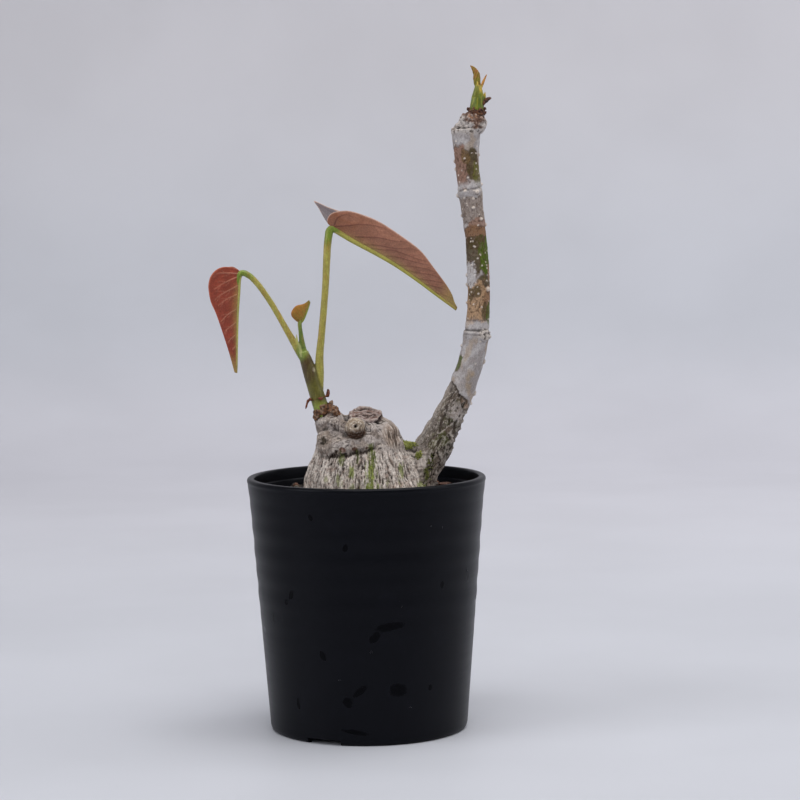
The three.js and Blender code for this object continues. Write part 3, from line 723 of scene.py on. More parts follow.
# What swells out of it: start, end, the two radii, and how softly it runs in
SWELLINGS = [
    ((-9.3, 0, 106), (-13.8, -1.8, 116.4), (6, 5.4), 2.2),
    ((-3.7, -9.5, 114.1), (-3.7, -12.6, 114.9), (4.3, 3.6), 0.9),
    ((-13.2, -6.5, 110), (-15.4, -8.2, 110.2), (3.6, 2.9), 1.4),
    ((6, -3, 111), (8.2, -4.5, 112.2), (5, 4.2), 1.8),
    ((-15.2, -8.4, 107.2), (-7, -12.6, 108.2), (2.6, 2.7), 1.6),
    ((-7, -12.6, 108.2), (2, -12.4, 109.4), (2.7, 2.0), 1.6),
    ((6, 6, 108), (2, 9.5, 113), (5, 3.4), 2.5),
    ((-9, 8, 104), (-11, 10.5, 109), (4.6, 3), 2),
    ((10, 0.5, 92), (21.0, 0.6, 99), (8.0, 5.9), 4),
    ((9, 0.3, 102.5), (16.9, 0.4, 104.9), (4.4, 3), 2),
    ((-11.5, -9.5, 117.2), (-8.2, -10.2, 114.2), (1.6, 1.3), 1.0),
    ((3.2, -10.4, 113.2), (6.5, -9.4, 109.4), (1.7, 1.3), 1.2),
    ((10.6, -5.5, 108.4), (12.6, -3.2, 105.4), (2.6, 2.2), 1.4),
    ((12.2, -8.5, 100.5), (16.4, -6.5, 94.5), (2.8, 3.4), 2.0),
]

# The old branch: x, y, z and radius of its stations
BRANCH = [
    (15.5, 0.5, 87, 7.2),
    (18.8, 0.6, 92.5, 6.9),
    (21.7, 0.6, 98.9, 6.5),
    (24.9, 0.6, 105, 6.9),
    (28.0, 0.3, 111, 6.1),
    (32.3, -0.2, 120, 5.3),
    (37.7, -1, 132, 4.8),
    (41.2, -1.5, 144, 4.7),
    (42.7, -1.4, 158, 4.35),
    (42.9, -0.8, 172, 4.25),
    (41.9, 0, 186, 4.1),
    (40.3, 0.6, 200, 4.4),
    (38.9, 0.9, 214, 4.6),
    (38.7, 1, 225, 5.5),
]
SEAM = np.array([24.7, 0.6, 105.3])
SEAM_NORMAL = unit(np.array([0.41, 0, 0.91]))
SCAR = np.array([-0.2, -2.9, 117.7])
SCAR_TILT = math.radians(26)
SCAR_RADIUS = 6.1
SCAR_DEPTH = 0.84
SCAR_RISE = 1.6
SCAR_TURN = rotation(SCAR_TILT, "X")
STEM_RADIUS = 4.5
KNOB = np.array([41.2, 0.9, 227.4])
TIP = np.array([42.8, 0.6, 230.6])
SHOOT_SEAT_Z = 119.6
SHOOT_Y = -3


def swelling_distance(points):
    left, right, depth = (np.interp(points[:, 2], BODY_ROWS[:, 0], row) for row in BODY_ROWS.T[1:])
    half = (right - left) / 2
    ring = np.hypot((points[:, 0] - (left + right) / 2) / half, points[:, 1] / depth)
    wall = (ring - 1) * np.minimum(half, depth)
    top = points[:, 2] - (118.4 + 0.3 * np.minimum(points[:, 1], 0))
    distance = -blend(-wall, -np.maximum(top, BODY_ROWS[0, 0] - points[:, 2]), 3)
    for start, end, radii, softness in SWELLINGS:
        distance = blend(distance, rod(points, start, end, radii), softness)
    angle = np.arctan2(points[:, 1], points[:, 0])
    low = fall(103, 109, points[:, 2])
    flutes = 0.24 * np.sin(13 * angle + 0.12 * points[:, 2]) + 0.16 * np.sin(22 * angle + 1.3)
    creases = 0.2 * np.sin(0.9 * points[:, 2] + 2 * angle) * np.sin(3 * angle + 0.4 * points[:, 2])
    return distance + flutes * low + creases * (1 - low)


def swelling_skin():
    """The skin of the swollen base, found by halving along each ray from its middle."""
    rays, faces = ball((0, 0, 0), (1, 1, 1), 7)
    inside = np.zeros(len(rays))
    outside = np.full(len(rays), float(BODY_REACH))
    for _ in range(22):
        middle = (inside + outside) / 2
        within = swelling_distance(BODY_MIDDLE + rays * middle[:, None]) < 0
        inside = np.where(within, middle, inside)
        outside = np.where(within, outside, middle)
    return BODY_MIDDLE + rays * inside[:, None], faces


def branch_relief(middle, angle):
    z = middle[..., 2:3]
    rings = 0.5 * bell(z - 148.3, 1.6) + 0.25 * bell(z - 201.4, 1.6)
    low = fall(126, 134, z)
    knots = np.sin(3 * angle + 0.35 * z) * np.sin(0.55 * z)
    return rings + (0.1 + 0.3 * low) * knots


def scar_plate():
    verts, faces = tube([(0, 0, -SCAR_RISE, SCAR_RADIUS + 0.3), (0, 0, SCAR_RISE, SCAR_RADIUS)], 72, 8)
    angle = np.arctan2(verts[:, 1], verts[:, 0])
    rim = 1 + 0.05 * np.sin(5 * angle) + 0.03 * np.sin(9 * angle + 1) + 0.02 * np.sin(17 * angle)
    verts[:, 0] *= rim
    verts[:, 1] *= SCAR_DEPTH * rim
    return verts @ SCAR_TURN.T + SCAR, faces


def knob_parts():
    """The crusty callus on top of the branch, with a dished seat for the bud."""
    draw = random.Random(11)
    parts = [ball(KNOB, (4.9, 4.9, 4.3), 4)]
    for _ in range(320):
        turn, tilt = draw.uniform(0, 2 * math.pi), draw.uniform(-0.95, 0.8)
        around = 4.8 * math.cos(tilt)
        x, y = KNOB[0] + around * math.cos(turn), KNOB[1] + around * math.sin(turn)
        z = KNOB[2] + 4.1 * math.sin(tilt)
        if z < TIP[2] + 0.4:
            parts.append(crumb((x, y, z), draw.uniform(0.35, 0.8), draw))
    for x, z, size in ((34.6, 224.6, 1.5), (43.6, 224.4, 1.4), (35.6, 226.4, 1.1), (36.4, 222.6, 0.8)):
        parts.append(crumb((x, 0.4, z), size, draw))
    return parts


BRANCH_LINE = spline(BRANCH, np.linspace(0, 1, 600))


def on_branch_line(height, rows):
    return np.column_stack([np.interp(height, BRANCH_LINE[:, 2], axis) for axis in rows.T[:3]])


def branch_place(points):
    """Where points lie about the branch: height of its middle line there, angle round it, distance."""
    slope = np.gradient(BRANCH_LINE[:, :3], axis=0)
    slope /= slope[:, 2:3]
    height = points[:, 2].copy()
    for _ in range(5):
        centre = on_branch_line(height, BRANCH_LINE)
        tangent = unit(on_branch_line(height, slope))
        along = ((points - centre) * tangent).sum(1)
        height = height + 0.9 * along * tangent[:, 2]
    across = unit(np.array([0.0, 1.0, 0.0]) - tangent * tangent[:, 1:2])
    out = np.cross(across, tangent)
    offset = points - centre
    angle = np.arctan2((offset * across).sum(1), (offset * out).sum(1))
    return height, angle, np.linalg.norm(offset - along[:, None] * tangent, axis=1)


def scar_place(points):
    """Across, up the slope and above the sawn plate."""
    local = (points - SCAR) @ SCAR_TURN
    return local[:, 0], local[:, 1] / SCAR_DEPTH, local[:, 2] - SCAR_RISE


def spot(points, middle, radii):
    """1 in the middle of a soft ellipsoid, 0 outside."""
    reach = np.linalg.norm((points - np.array(middle)) / radii, axis=1)
    return fall(0.6, 1.15, reach)


# Colours of the bark
ASH = colour(182, 170, 161)
PALE = colour(214, 205, 197)
LILAC = colour(148, 139, 136)
UMBER = colour(112, 95, 80)
FISSURE_AND_SHADE = colour(58, 46, 38)
TAN = colour(170, 146, 116)
RUST = colour(124, 78, 48)
LEAF_GREEN = colour(130, 140, 66)
DEEP_GREEN = colour(84, 90, 40)
SCAR_PINK = colour(122, 96, 90)
STEM_GREY = colour(154, 148, 147)
STEM_PALE = colour(178, 173, 173)
STEM_BROWN = colour(126, 92, 66)
STEM_PINK = colour(138, 103, 86)
OLIVE = colour(72, 60, 30)
WINDOW = colour(70, 88, 12)
LENTICEL = colour(208, 195, 184)

# Green stripes up the base: middle at the front, half width, half height, strength
GREEN_STRIPES = [
    ((2.1, -17.4, 98.6), 1.7, 3.8, 1.0),
    ((2.0, -18.6, 92.9), 2.7, 3.0, 1.0),
    ((2.3, -15.2, 104.4), 1.4, 3.0, 0.9),
    ((1.9, -14.5, 107.7), 1.0, 1.1, 0.85),
    ((-9.1, -15.6, 103.4), 1.1, 2.6, 0.85),
    ((-5.3, -17.4, 98.9), 1.1, 2.6, 0.85),
    ((-3, -15.4, 103.9), 0.6, 2.4, 0.7),
    ((13.2, -12.1, 97.8), 0.9, 3.2, 0.75),
    ((-9.9, -17.2, 95.2), 1.3, 1.9, 0.5),
    ((-5, -18.9, 93.2), 1.1, 1.5, 0.5),
    ((-14.6, -13.6, 95.4), 0.7, 1.6, 0.45),
    ((8.2, -16.4, 94.6), 0.9, 1.4, 0.35),
    ((6.0, 16.0, 97.0), 1.3, 4.2, 0.7),
    ((-8.0, 15.0, 95.0), 1.0, 3.4, 0.6),
    ((-20.0, 5.0, 96.0), 2.2, 3.2, 0.5),
    ((22.4, -7.0, 96.2), 1.0, 4.4, 0.75),
    ((20.4, -9.0, 92.6), 1.3, 2.0, 0.7),
    ((25.4, -5.4, 101.2), 0.7, 2.0, 0.45),
]


def base_coordinates(points):
    """Places on the base with its turns unrolled, so that a pattern follows its grain."""
    angle = np.arctan2(points[:, 1], points[:, 0] + 1)
    return np.column_stack([20 * np.cos(angle), 20 * np.sin(angle), points[:, 2]])


def base_bark(points):
    """Relief and colour of the bark on the swollen base: fibrous below, folded above."""
    count = len(points)
    around = base_coordinates(points)
    low = fall(104, 109, points[:, 2] + 0.9 * rough(points, 5, 2, 4.0))
    warp = rough(around, (5, 5, 12), 2, 9.0)[:, None] * (0.9, 0.9, 0)
    strands = rough(around + warp, (0.66, 0.66, 3.2), 3)
    wide = rough(around + warp, (2.3, 2.3, 9), 2, 5.0)
    cross = rough(points, (1.3, 1.3, 0.6), 2, 2.0)
    groove = smooth(0.1, 0.42, -strands)
    relief = low * (0.22 * strands + 0.24 * wide - 0.24 * groove - 0.12 * smooth(0.2, 0.45, cross))
    shade = flood(count, colour(202, 191, 183))
    shade = layered(shade, [
        (PALE, 0.5 * smooth(0.0, 0.4, strands) * low),
        (UMBER, 0.45 * smooth(0.0, 0.4, rough(around, (3, 3, 7), 3, 7.0)) * low),
        (FISSURE_AND_SHADE, low * (0.54 * groove + 0.34 * smooth(0.1, 0.4, -wide))),
        (colour(146, 116, 102), 0.4 * low * smooth(0.15, 0.4, rough(points, 1.5, 3, 12.0))),
    ])
    specks = smooth(0.16, 0.36, rough(around, (0.7, 0.7, 1.1), 2, 46.0))
    shade = cover(shade, FISSURE_AND_SHADE, 0.42 * low * specks)

    folds, creases = fold_lines(points)
    soft = rough(points, (3.4, 3.4, 2.4), 3, 6.0)
    grit = rough(points, 0.8, 3, 1.0)
    relief += (1 - low) * (0.32 * soft + 0.12 * folds - 0.28 * creases + 0.04 * grit)
    shade = layered(shade, [
        (LILAC, 0.8 * (1 - low)),
        (colour(104, 90, 82), 0.6 * (1 - low) * spot(points, (-9.6, -9.5, 116.2), (4.2, 6, 4.0))),
        (UMBER, 0.5 * (1 - low) * smooth(0.0, 0.35, rough(points, 3.4, 3, 8.0))),
        (ASH, 0.6 * (1 - low) * smooth(0.0, 0.5, rough(points, 4.5, 2, 13.0))),
        # Painted highlight on the fold tops, and painted shade in the creases between them. The grit
        # adds the bark's own dark specks.
        (PALE, 0.25 * (1 - low) * smooth(0.3, 1.0, folds)),
        (FISSURE_AND_SHADE, (1 - low) * (0.75 * creases + 0.35 * smooth(0.25, 0.5, -grit))),
    ])
    return relief, shade


KNOB_AXIS = ((-3.7, -9.5, 114.1), (-3.7, -16.4, 115.7))


def fold_lines(points):
    """Soft folds that run round the base and bend round its front knob, and thin creases in them."""
    axis = rod(points, *KNOB_AXIS)
    near = fall(4, 8.5, axis)
    flow = lerp(points[:, 2], 115 - axis, near) + 2.4 * rough(points, (6, 6, 3), 3, 16.0)
    patchy = smooth(-0.05, 0.3, rough(points, 3, 2, 7.0))
    folds = np.cos(2 * math.pi * flow / 2.1)
    creases = bell(np.sin(math.pi * (flow / 2.1 + 0.5)), 0.2)
    return folds * patchy, creases * patchy


def front_knob(points, relief, shade):
    """The round stub at the front, ringed about a dark hole, with painted shade in dark brown on its
    lower side.
    """
    axis = rod(points, *KNOB_AXIS)
    knob = fall(3.9, 4.9, axis) * smooth(11.4, 12.6, -points[:, 1])
    rings = np.cos(2 * math.pi * (axis + 0.8 * rough(points, 2.4, 3)) / 1.05)
    grit = rough(points, 0.8, 3, 4.0)
    dish = 0.2 * fall(0.6, 1.9, axis)
    relief = lerp(relief, 0.09 * rings + 0.16 * grit - dish, knob)
    shade = layered(shade, [
        (colour(158, 141, 120), 0.85 * knob),
        (PALE, 0.3 * knob * smooth(0.3, 0.9, rings + 1.5 * grit)),
        (UMBER, 0.6 * knob * smooth(0.1, 0.8, -rings - 1.5 * grit)),
    ])
    # Painted shade: the lower side of the knob is darker brown.
    under = smooth(-0.6, 1.8, 114.6 + 0.8 * grit - points[:, 2] + 0.12 * (points[:, 0] + 3.8))
    shade = cover(shade, colour(70, 45, 30), 0.96 * knob * under)
    hole = fall(0.35, 1.0, rod(points, (-3.5, -14, 115.6), (-3.5, -18, 116.0)))
    shade = cover(shade, colour(40, 28, 22), hole)
    return relief - 1.0 * hole, shade


# Round leaf scars, along the ledge and on the back: middle and radius
LEAF_SCARS = [
    ((-8.6, -15.0, 106.9), 1.5),
    ((-4.0, -15.3, 107.1), 1.35),
    ((0.6, -15.2, 107.5), 0.9),
    ((-18.2, 4.0, 111.0), 1.2),
    ((6.5, 13.5, 109.0), 1.3),
    ((-6.0, 14.0, 108.0), 1.1),
]


def ledge(points, relief, shade):
    """The fold across the front with painted shadow below it, leaf scars on its lip with painted shade
    on their lower rims, and a crack at its left end.
    """
    front = smooth(0, 4, -points[:, 1])
    ledge_z = np.interp(points[:, 0], [-16, -9, -3, 3], [103.8, 105.4, 106.2, 107.2])
    drop = 0.9 * rough(points, (1.1, 1.1, 9), 3, 11.0)
    reach = front * smooth(-16, -13, points[:, 0]) * fall(1.5, 4.5, points[:, 0])
    under = bell(points[:, 2] - ledge_z - drop + 0.6, 0.6) * reach
    roll = bell(points[:, 2] - ledge_z - 1.2, 1.2) * reach
    relief = relief - 0.7 * under + 0.35 * roll
    # Painted shadow under the fold.
    shade = cover(shade, colour(78, 56, 44), 0.7 * under)
    for middle, radius in LEAF_SCARS:
        off = np.linalg.norm((points - np.array(middle)) / (1, 1, 0.75), axis=1) / radius
        disc = fall(0.75, 1.1, off)
        rim = bell(off - 1, 0.22)
        relief = relief + 0.3 * rim - 0.15 * disc
        shade = cover(shade, colour(118, 82, 66), 0.85 * disc)
        # Painted shade on the lower half of each scar's rim.
        shade = cover(shade, FISSURE_AND_SHADE, 0.5 * rim * smooth(0, 0.6, middle[2] - points[:, 2]))
    crack = rod(points, (-10.7, -13.5, 106.0), (-13.6, -11.7, 103.7), (0.45, 0.2))
    crack = crack + 0.5 * rough(points, (0.5, 0.5, 1.6), 2, 83.0)
    relief = relief - 0.5 * fall(-0.2, 0.5, crack)
    return relief, cover(shade, colour(76, 56, 42), 0.9 * fall(-0.1, 0.5, crack))


def side_knobs(points, relief, shade):
    """The hollow bud scar on the left and the brown shoulder on the right."""
    off = np.linalg.norm((points - np.array([-15.8, -11.2, 110.0])) / (1.6, 2.0, 2.1), axis=1)
    hollow = fall(0.2, 1.2, off + 0.6 * rough(points, 1.2, 2, 5.0))
    lip = bell(off - 1.7, 0.4)
    relief = relief - 0.8 * hollow + 0.25 * lip
    shade = cover(shade, UMBER, 0.5 * fall(1.6, 3, off))
    shade = cover(shade, colour(74, 64, 48), 0.9 * hollow)
    shoulder = spot(points, (9.8, -7.8, 111.2), (4.4, 5.2, 5.4))
    streaks = rough(base_coordinates(points), (1.0, 1.0, 4.5), 3, 18.0)
    relief = lerp(relief, 0.35 * streaks, shoulder)
    shade = cover(shade, colour(142, 122, 106), 0.7 * shoulder)
    shade = cover(shade, PALE, 0.6 * shoulder * smooth(0.1, 0.4, streaks))
    return relief, cover(shade, FISSURE_AND_SHADE, 0.65 * shoulder * smooth(0.08, 0.36, -streaks))


def foot_cracks(points, relief, shade):
    """The dark torn bark between the base and the foot of the branch."""
    torn = spot(points, (26.2, -6, 98.4), (3.7, 6, 7.6))
    slant = points[:, [2]] * (-0.2, 0, 0)
    net = rough(points + slant, (1.5, 1.5, 4.4), 3, 53.0)
    cracks = torn * fall(0.04, 0.2, np.abs(net))
    plates = torn * smooth(0.16, 0.4, net)
    relief = relief - 0.6 * cracks + 0.35 * plates
    shade = cover(shade, colour(122, 103, 86), 0.6 * torn)
    shade = cover(shade, PALE, 0.45 * plates)
    return relief, cover(shade, colour(40, 29, 22), 0.92 * cracks)


def stripes(points, relief, shade):
    """The green of the living bark, showing in ragged stripes between the fibres."""
    grain = rough(base_coordinates(points), (0.55, 0.55, 3), 3, 15.0)
    for middle, wide, high, strength in GREEN_STRIPES:
        reach = np.linalg.norm((points - np.array(middle)) / (wide, 5, high), axis=1)
        mask = strength * fall(0.5, 1.25, reach + 1.1 * grain)
        green = LEAF_GREEN if middle[2] < 101 else lerp(LEAF_GREEN, DEEP_GREEN, 0.6)
        shade = cover(shade, green, mask)
        shade = cover(shade, DEEP_GREEN, 0.6 * mask * smooth(0.05, 0.35, -grain))
        relief = relief * (1 - 0.25 * mask)
    return relief, shade


def scar_features(points, relief, shade):
    across, up, above = scar_place(points)
    reach = np.hypot(across, up)
    plate = fall(SCAR_RADIUS - 0.1, SCAR_RADIUS + 0.6, reach) * smooth(-2.4, -1.4, above)
    flat = np.column_stack([across, up, np.zeros(len(points))])
    warp = 2.2 * rough(flat, (4.5, 2.4, 1), 3, 17.0)
    layers = np.cos(2 * math.pi * (0.5 * reach + 0.6 * up + warp) / 2.1)
    cracks = bell(rough(flat, (3.4, 1.5, 1), 3, 21.0), 0.085)
    pits = smooth(0.08, 0.24, -rough(flat, (2.8, 1.3, 1), 3, 25.0)) * smooth(-3, 0.5, up)
    rim = bell(reach - SCAR_RADIUS + 0.6, 0.7)
    inside = fall(SCAR_RADIUS - 1.2, SCAR_RADIUS - 0.2, reach)
    heave = 0.8 * rough(flat, 4.5, 2, 31.0)
    rise = heave + 0.1 * layers + 0.4 * rim - inside * (0.3 * cracks + 0.55 * pits)
    relief = lerp(relief, rise, plate)
    # Painted shadow in the real undercut below the front of the plate's rim.
    sill_shadow = bell(above + 1.3 + 0.7 * rough(points, 1.8, 2, 37.0), 0.5)
    sill_shadow = sill_shadow * smooth(SCAR_RADIUS - 1.2, SCAR_RADIUS - 0.3, reach)
    sill_shadow = sill_shadow * fall(SCAR_RADIUS + 1.0, SCAR_RADIUS + 2.2, reach) * smooth(-1.5, 1.5, -up)
    relief = relief - 0.9 * sill_shadow
    shade = layered(shade, [
        (SCAR_PINK, 0.9 * plate),
        (LILAC, 0.3 * plate * smooth(0.1, 0.8, layers)),
        (colour(104, 78, 66), 0.55 * plate * smooth(0.2, 0.9, -layers)),
        (colour(50, 34, 28), 0.92 * plate * inside * np.maximum(cracks, pits)),
        (PALE, 0.3 * plate * rim * smooth(-0.1, 0.3, rough(points, 1.2, 2, 41.0))),
    ])
    return relief, cover(shade, colour(48, 36, 30), 0.95 * sill_shadow)


# Patches of the branch: height, angle in degrees (-90 is the front), half height, half angle,
# colour and strength
STEM_TAN = colour(166, 134, 102)
BRANCH_PATCHES = [
    (194.6, -90, 5.4, 180, colour(138, 125, 117), 0.8),
    (188.6, -60, 3.2, 70, STEM_PINK, 0.75),
    (210.8, -150, 8.4, 75, STEM_PINK, 0.9),
    (210.5, 70, 7.4, 95, STEM_PINK, 0.7),
    (211.6, -62, 6.2, 38, OLIVE, 0.95),
    (207.6, -40, 4.6, 30, colour(96, 92, 40), 0.9),
    (214.6, -96, 2.8, 22, colour(108, 84, 52), 0.85),
    (185.4, -90, 3.6, 150, STEM_BROWN, 0.95),
    (182.6, -95, 2.6, 120, OLIVE, 0.9),
    (177.2, -120, 7.4, 60, OLIVE, 0.9),
    (176.4, -48, 7.6, 38, WINDOW, 1.0),
    (179.4, -20, 5.4, 40, WINDOW, 0.9),
    (167.4, -52, 3.6, 50, OLIVE, 0.9),
    (160.6, -110, 7.8, 130, STEM_TAN, 0.95),
    (161.5, 60, 8.4, 120, STEM_BROWN, 0.8),
    (164.4, -100, 2.2, 26, OLIVE, 0.85),
    (163.4, -140, 2.6, 22, OLIVE, 0.8),
    (157.2, -52, 3.4, 20, OLIVE, 0.85),
    (156.8, -20, 4.6, 24, WINDOW, 0.9),
    (171.4, -142, 5.4, 42, STEM_PALE, 1.0),
    (171.0, -12, 3.6, 26, STEM_PINK, 0.8),
    (136.4, -160, 3.4, 22, WINDOW, 0.85),
    (183.0, 90, 5.0, 60, WINDOW, 0.7),
    (141.0, 100, 3.6, 30, TAN, 0.6),
]


def branch_bark(points, height, angle):
    """Relief and colour of the thin bark in bands above the overlap."""
    count = len(points)
    around = np.column_stack([STEM_RADIUS * np.cos(angle), STEM_RADIUS * np.sin(angle), height])
    ragged = rough(around, 2.6, 3, 3.0)
    skin = rough(around, (2.4, 2.4, 3.2), 3, 6.0)
    relief = 0.09 * skin + 0.03 * rough(around, 0.6, 2, 2.0)
    shade = flood(count, STEM_GREY)
    shade = layered(shade, [
        (STEM_PALE, 0.7 * smooth(0.0, 0.4, skin)),
        (LILAC, 0.5 * smooth(0.05, 0.4, -skin)),
        (TAN, 0.35 * smooth(0.1, 0.4, rough(around, (3, 3, 5), 2, 12.0))),
    ])
    stain = spot(points, (39.6, -5.6, 130.4), (2.6, 4, 5.4))
    shade = cover(shade, colour(150, 126, 92), 0.6 * stain * smooth(-0.5, 0.3, skin))
    brown = np.zeros(count)
    seams = np.zeros(count)
    for middle, degrees, high, wide, patch, strength in BRANCH_PATCHES:
        turn = (angle - math.radians(degrees) + math.pi) % (2 * math.pi) - math.pi
        reach = np.hypot((height - middle) / high, turn / math.radians(wide)) + 0.3 * ragged
        mask = strength * fall(0.86, 1.06, reach)
        shade = cover(shade, patch, mask)
        edge = bell(reach - 0.98, 0.07) * (strength > 0.8)
        seams = np.maximum(seams * (1 - mask), edge)
        if patch is not STEM_PALE:
            brown = np.maximum(brown, mask)
    net = np.abs(rough(around, (2.0, 2.0, 2.8), 2, 29.0))
    cracks = brown * fall(0.02, 0.08, net)
    relief -= 0.16 * brown + 0.12 * cracks
    mottle = smooth(0.05, 0.4, rough(around, (0.9, 0.9, 1.4), 3, 9.0))
    shade = cover(shade, UMBER, 0.45 * brown * mottle)
    dark = np.maximum(cracks, seams * smooth(-0.2, 0.2, ragged))
    shade = cover(shade, colour(72, 48, 34), 0.75 * dark)
    return relief, shade


# Ring scars of the branch: height, depth, darkness
RING_MARKS = [(150.4, 0.35, 0.6), (148.7, 0.2, 0.35), (202.9, 0.2, 0.4), (153.9, 0.12, 0.3)]


def ring_marks(points, height, angle, relief, shade):
    """The ring scars round the branch, and the bump beside the lower one."""
    tilt = 0.5 * np.sin(angle + 1.0)
    for z, depth, dark in RING_MARKS:
        line = bell(height - z - tilt - 0.2 * rough(points, 2.5, 2, z), 0.42)
        relief -= depth * line
        shade = cover(shade, FISSURE_AND_SHADE, dark * line)
    band = 0.7 * bell(height - 152.2, 1.5) + bell(height - 204, 1.2)
    shade = cover(shade, STEM_PALE, 0.8 * band)
    bump = spot(points, (44.9, -4.6, 148.4), (2.6, 3, 2.6))
    grit = rough(points, 0.9, 3, 31.0)
    relief += bump * (0.75 + 0.7 * grit)
    shade = cover(shade, colour(174, 166, 160), bump)
    shade = cover(shade, FISSURE_AND_SHADE, 0.5 * bump * smooth(0.12, 0.35, -grit))
    return relief, shade


# Warts that stand out on the branch's edges: height, angle in degrees, size
WARTS = [
    (213.4, 178, 0.7), (210.6, 186, 0.6), (200.9, 176, 0.9), (193.4, 180, 0.6), (170.8, 182, 0.8),
    (167.2, 184, 0.7), (160.2, 178, 0.6), (143.4, 186, 0.7), (215.2, 2, 0.6), (203.9, -4, 0.7),
    (189.0, 4, 0.7), (139.4, 3, 0.9), (128.4, 2, 0.9), (124.6, -8, 0.8), (165.4, -38, 1.0),
    (201.4, -60, 0.8), (202.2, -115, 0.6), (191.2, -48, 0.7), (199.0, -80, 0.5), (195.6, -86, 0.6),
]
LENTICELS = 210


def lenticels(points, height, angle, relief, shade):
    """Pale raised dots, thick on the brown bands and thin on the grey ones."""
    draw = random.Random(77)
    dots = [(h, math.radians(a), s) for h, a, s in WARTS]
    for _ in range(LENTICELS):
        size = draw.uniform(0.24, 0.4)
        z, turn = draw.uniform(136, 221), draw.uniform(-math.pi, math.pi)
        if z > 155 or draw.random() < 0.35:
            dots.append((z, turn, size))
    for z, turn, size in dots:
        near = np.flatnonzero(np.abs(height - z) < 2)
        off = (angle[near] - turn + math.pi) % (2 * math.pi) - math.pi
        reach = np.hypot(height[near] - z, 0.8 * STEM_RADIUS * off) / size
        mask = fall(0.45, 1.25, reach)
        relief[near] += (0.34 * size + (0.35 if size > 0.52 else 0.05)) * mask
        shade[near] = cover(shade[near], LENTICEL, 0.85 * mask)
    return relief, shade


def pale_flap(points, local, grit, relief, shade):
    """A flap of pale, smoother bark that lies on the rough one."""
    flap = spot(points, (33.9, -4.6, 119.2), (3.4, 4.4, 4.6))
    flap = flap * smooth(-0.3, 0.0, rough(local, 1.9, 2, 59.0))
    shade = cover(shade, lerp(LILAC, PALE, 0.25), 0.85 * flap)
    shade = cover(shade, UMBER, 0.6 * flap * smooth(0.05, 0.35, -grit))
    return relief * (1 - 0.6 * flap) + 0.3 * flap, shade


def lower_bark(points, height, angle, reach):
    """Relief and colour of the old rough bark between the base and the overlap."""
    local = np.column_stack([reach * np.cos(angle), reach * np.sin(angle), height])
    net = rough(local, (1.3, 1.3, 2.4), 3, 14.0)
    lines = fall(0.01, 0.1, np.abs(net))
    holes = smooth(0.14, 0.42, -net)
    edge = smooth(0.2, 0.9, np.cos(angle)) * fall(124, 128, height)
    warts = edge * smooth(0.12, 0.4, rough(local, 1.8, 3, 24.0))
    grit = rough(local, 0.6, 2, 4.0)
    relief = 0.1 * lines - 0.16 * holes + 0.5 * warts + 0.08 * grit + 0.14 * rough(local, 3, 2, 44.0)
    left = bell(np.abs(angle) - math.pi, 0.62)
    shade = flood(len(points), colour(86, 77, 69))
    shade = cover(shade, UMBER, 0.5 * smooth(-0.05, 0.3, rough(local, (2.6, 2.6, 4), 3, 33.0)))
    middle = bell(angle + math.radians(74), 0.85) * fall(121, 127, height)
    shade = cover(shade, colour(66, 57, 45), 0.8 * middle * smooth(-0.35, 0.05, grit - net))
    stain = smooth(-0.05, 0.2, rough(local, (1.4, 1.4, 4.0), 3, 41.0))
    shade = cover(shade, DEEP_GREEN, 0.6 * middle * stain)
    fine = rough(local, (0.8, 0.8, 1.5), 3, 63.0)
    shade = layered(shade, [
        (FISSURE_AND_SHADE, 0.5 * smooth(0.08, 0.36, -fine)),
        (PALE, 0.36 * smooth(0.18, 0.42, fine)),
        (ASH, (0.34 + 0.12 * middle) * lines + 0.45 * warts),
        (FISSURE_AND_SHADE, 0.7 * holes),
    ])
    streaks = rough(local, (0.7, 0.7, 5), 3, 57.0)
    shade = cover(shade, colour(164, 157, 152), 0.75 * left)
    shade = cover(shade, UMBER, 0.6 * left * smooth(0.02, 0.3, -streaks))
    relief, shade = pale_flap(points, local, grit, relief, shade)
    tan_spot = spot(points, (37.4, -3.4, 123.4), (2.0, 3.6, 3.4))
    shade = cover(shade, colour(138, 110, 90), 0.7 * tan_spot * smooth(-0.3, 0.2, net))
    return relief, shade


def overlap_height(angle):
    """Where the smooth upper bark laps over the rough lower bark: lowest at the right of the front."""
    return 127.6 - 2.8 * np.cos(angle + math.radians(9)) + 0.3 * np.sin(5 * angle)


def knob_crust(points):
    grit = rough(points, 1.3, 3, 51.0)
    shade = flood(len(points), lerp(STEM_GREY, PALE, 0.35))
    shade = layered(shade, [
        (UMBER, 0.5 * smooth(0.0, 0.3, -grit)),
        (FISSURE_AND_SHADE, 0.6 * smooth(0.22, 0.45, -grit)),
        (LENTICEL, 0.4 * smooth(0.25, 0.5, grit)),
    ])
    patchy = rough(points, 1.6, 2, 3.3)
    front = spot(points + 0.8 * patchy[:, None], (42.4, -3.0, 229.2), (4.4, 5.0, 2.8))
    lower = spot(points, (43.4, -4, 226.4), (3.2, 3, 1.8)) * smooth(-0.2, 0.1, patchy)
    brown = np.maximum(front, lower)
    brown = np.maximum(brown, smooth(229.6, 230.6, points[:, 2]))
    shade = cover(shade, colour(82, 52, 36), 0.92 * brown)
    shade = cover(shade, colour(148, 104, 72), 0.5 * brown * smooth(0.1, 0.4, grit))
    return 0.22 * grit + 0.1 * rough(points, 0.5, 2), shade


def over(lower, upper, share):
    """One bark over another, each a pair of relief and colours, as far as the share says."""
    return lerp(lower[0], upper[0], share), lerp(lower[1], upper[1], share[:, None])


def upper_bark(points, height, angle, edge):
    """The smooth bark of the branch, thicker where it laps over the rough one."""
    bark = branch_bark(points, height, angle)
    for feature in (ring_marks, lenticels):
        bark = feature(points, height, angle, *bark)
    return bark[0] + 0.35 * fall(0.3, 4, edge), bark[1]


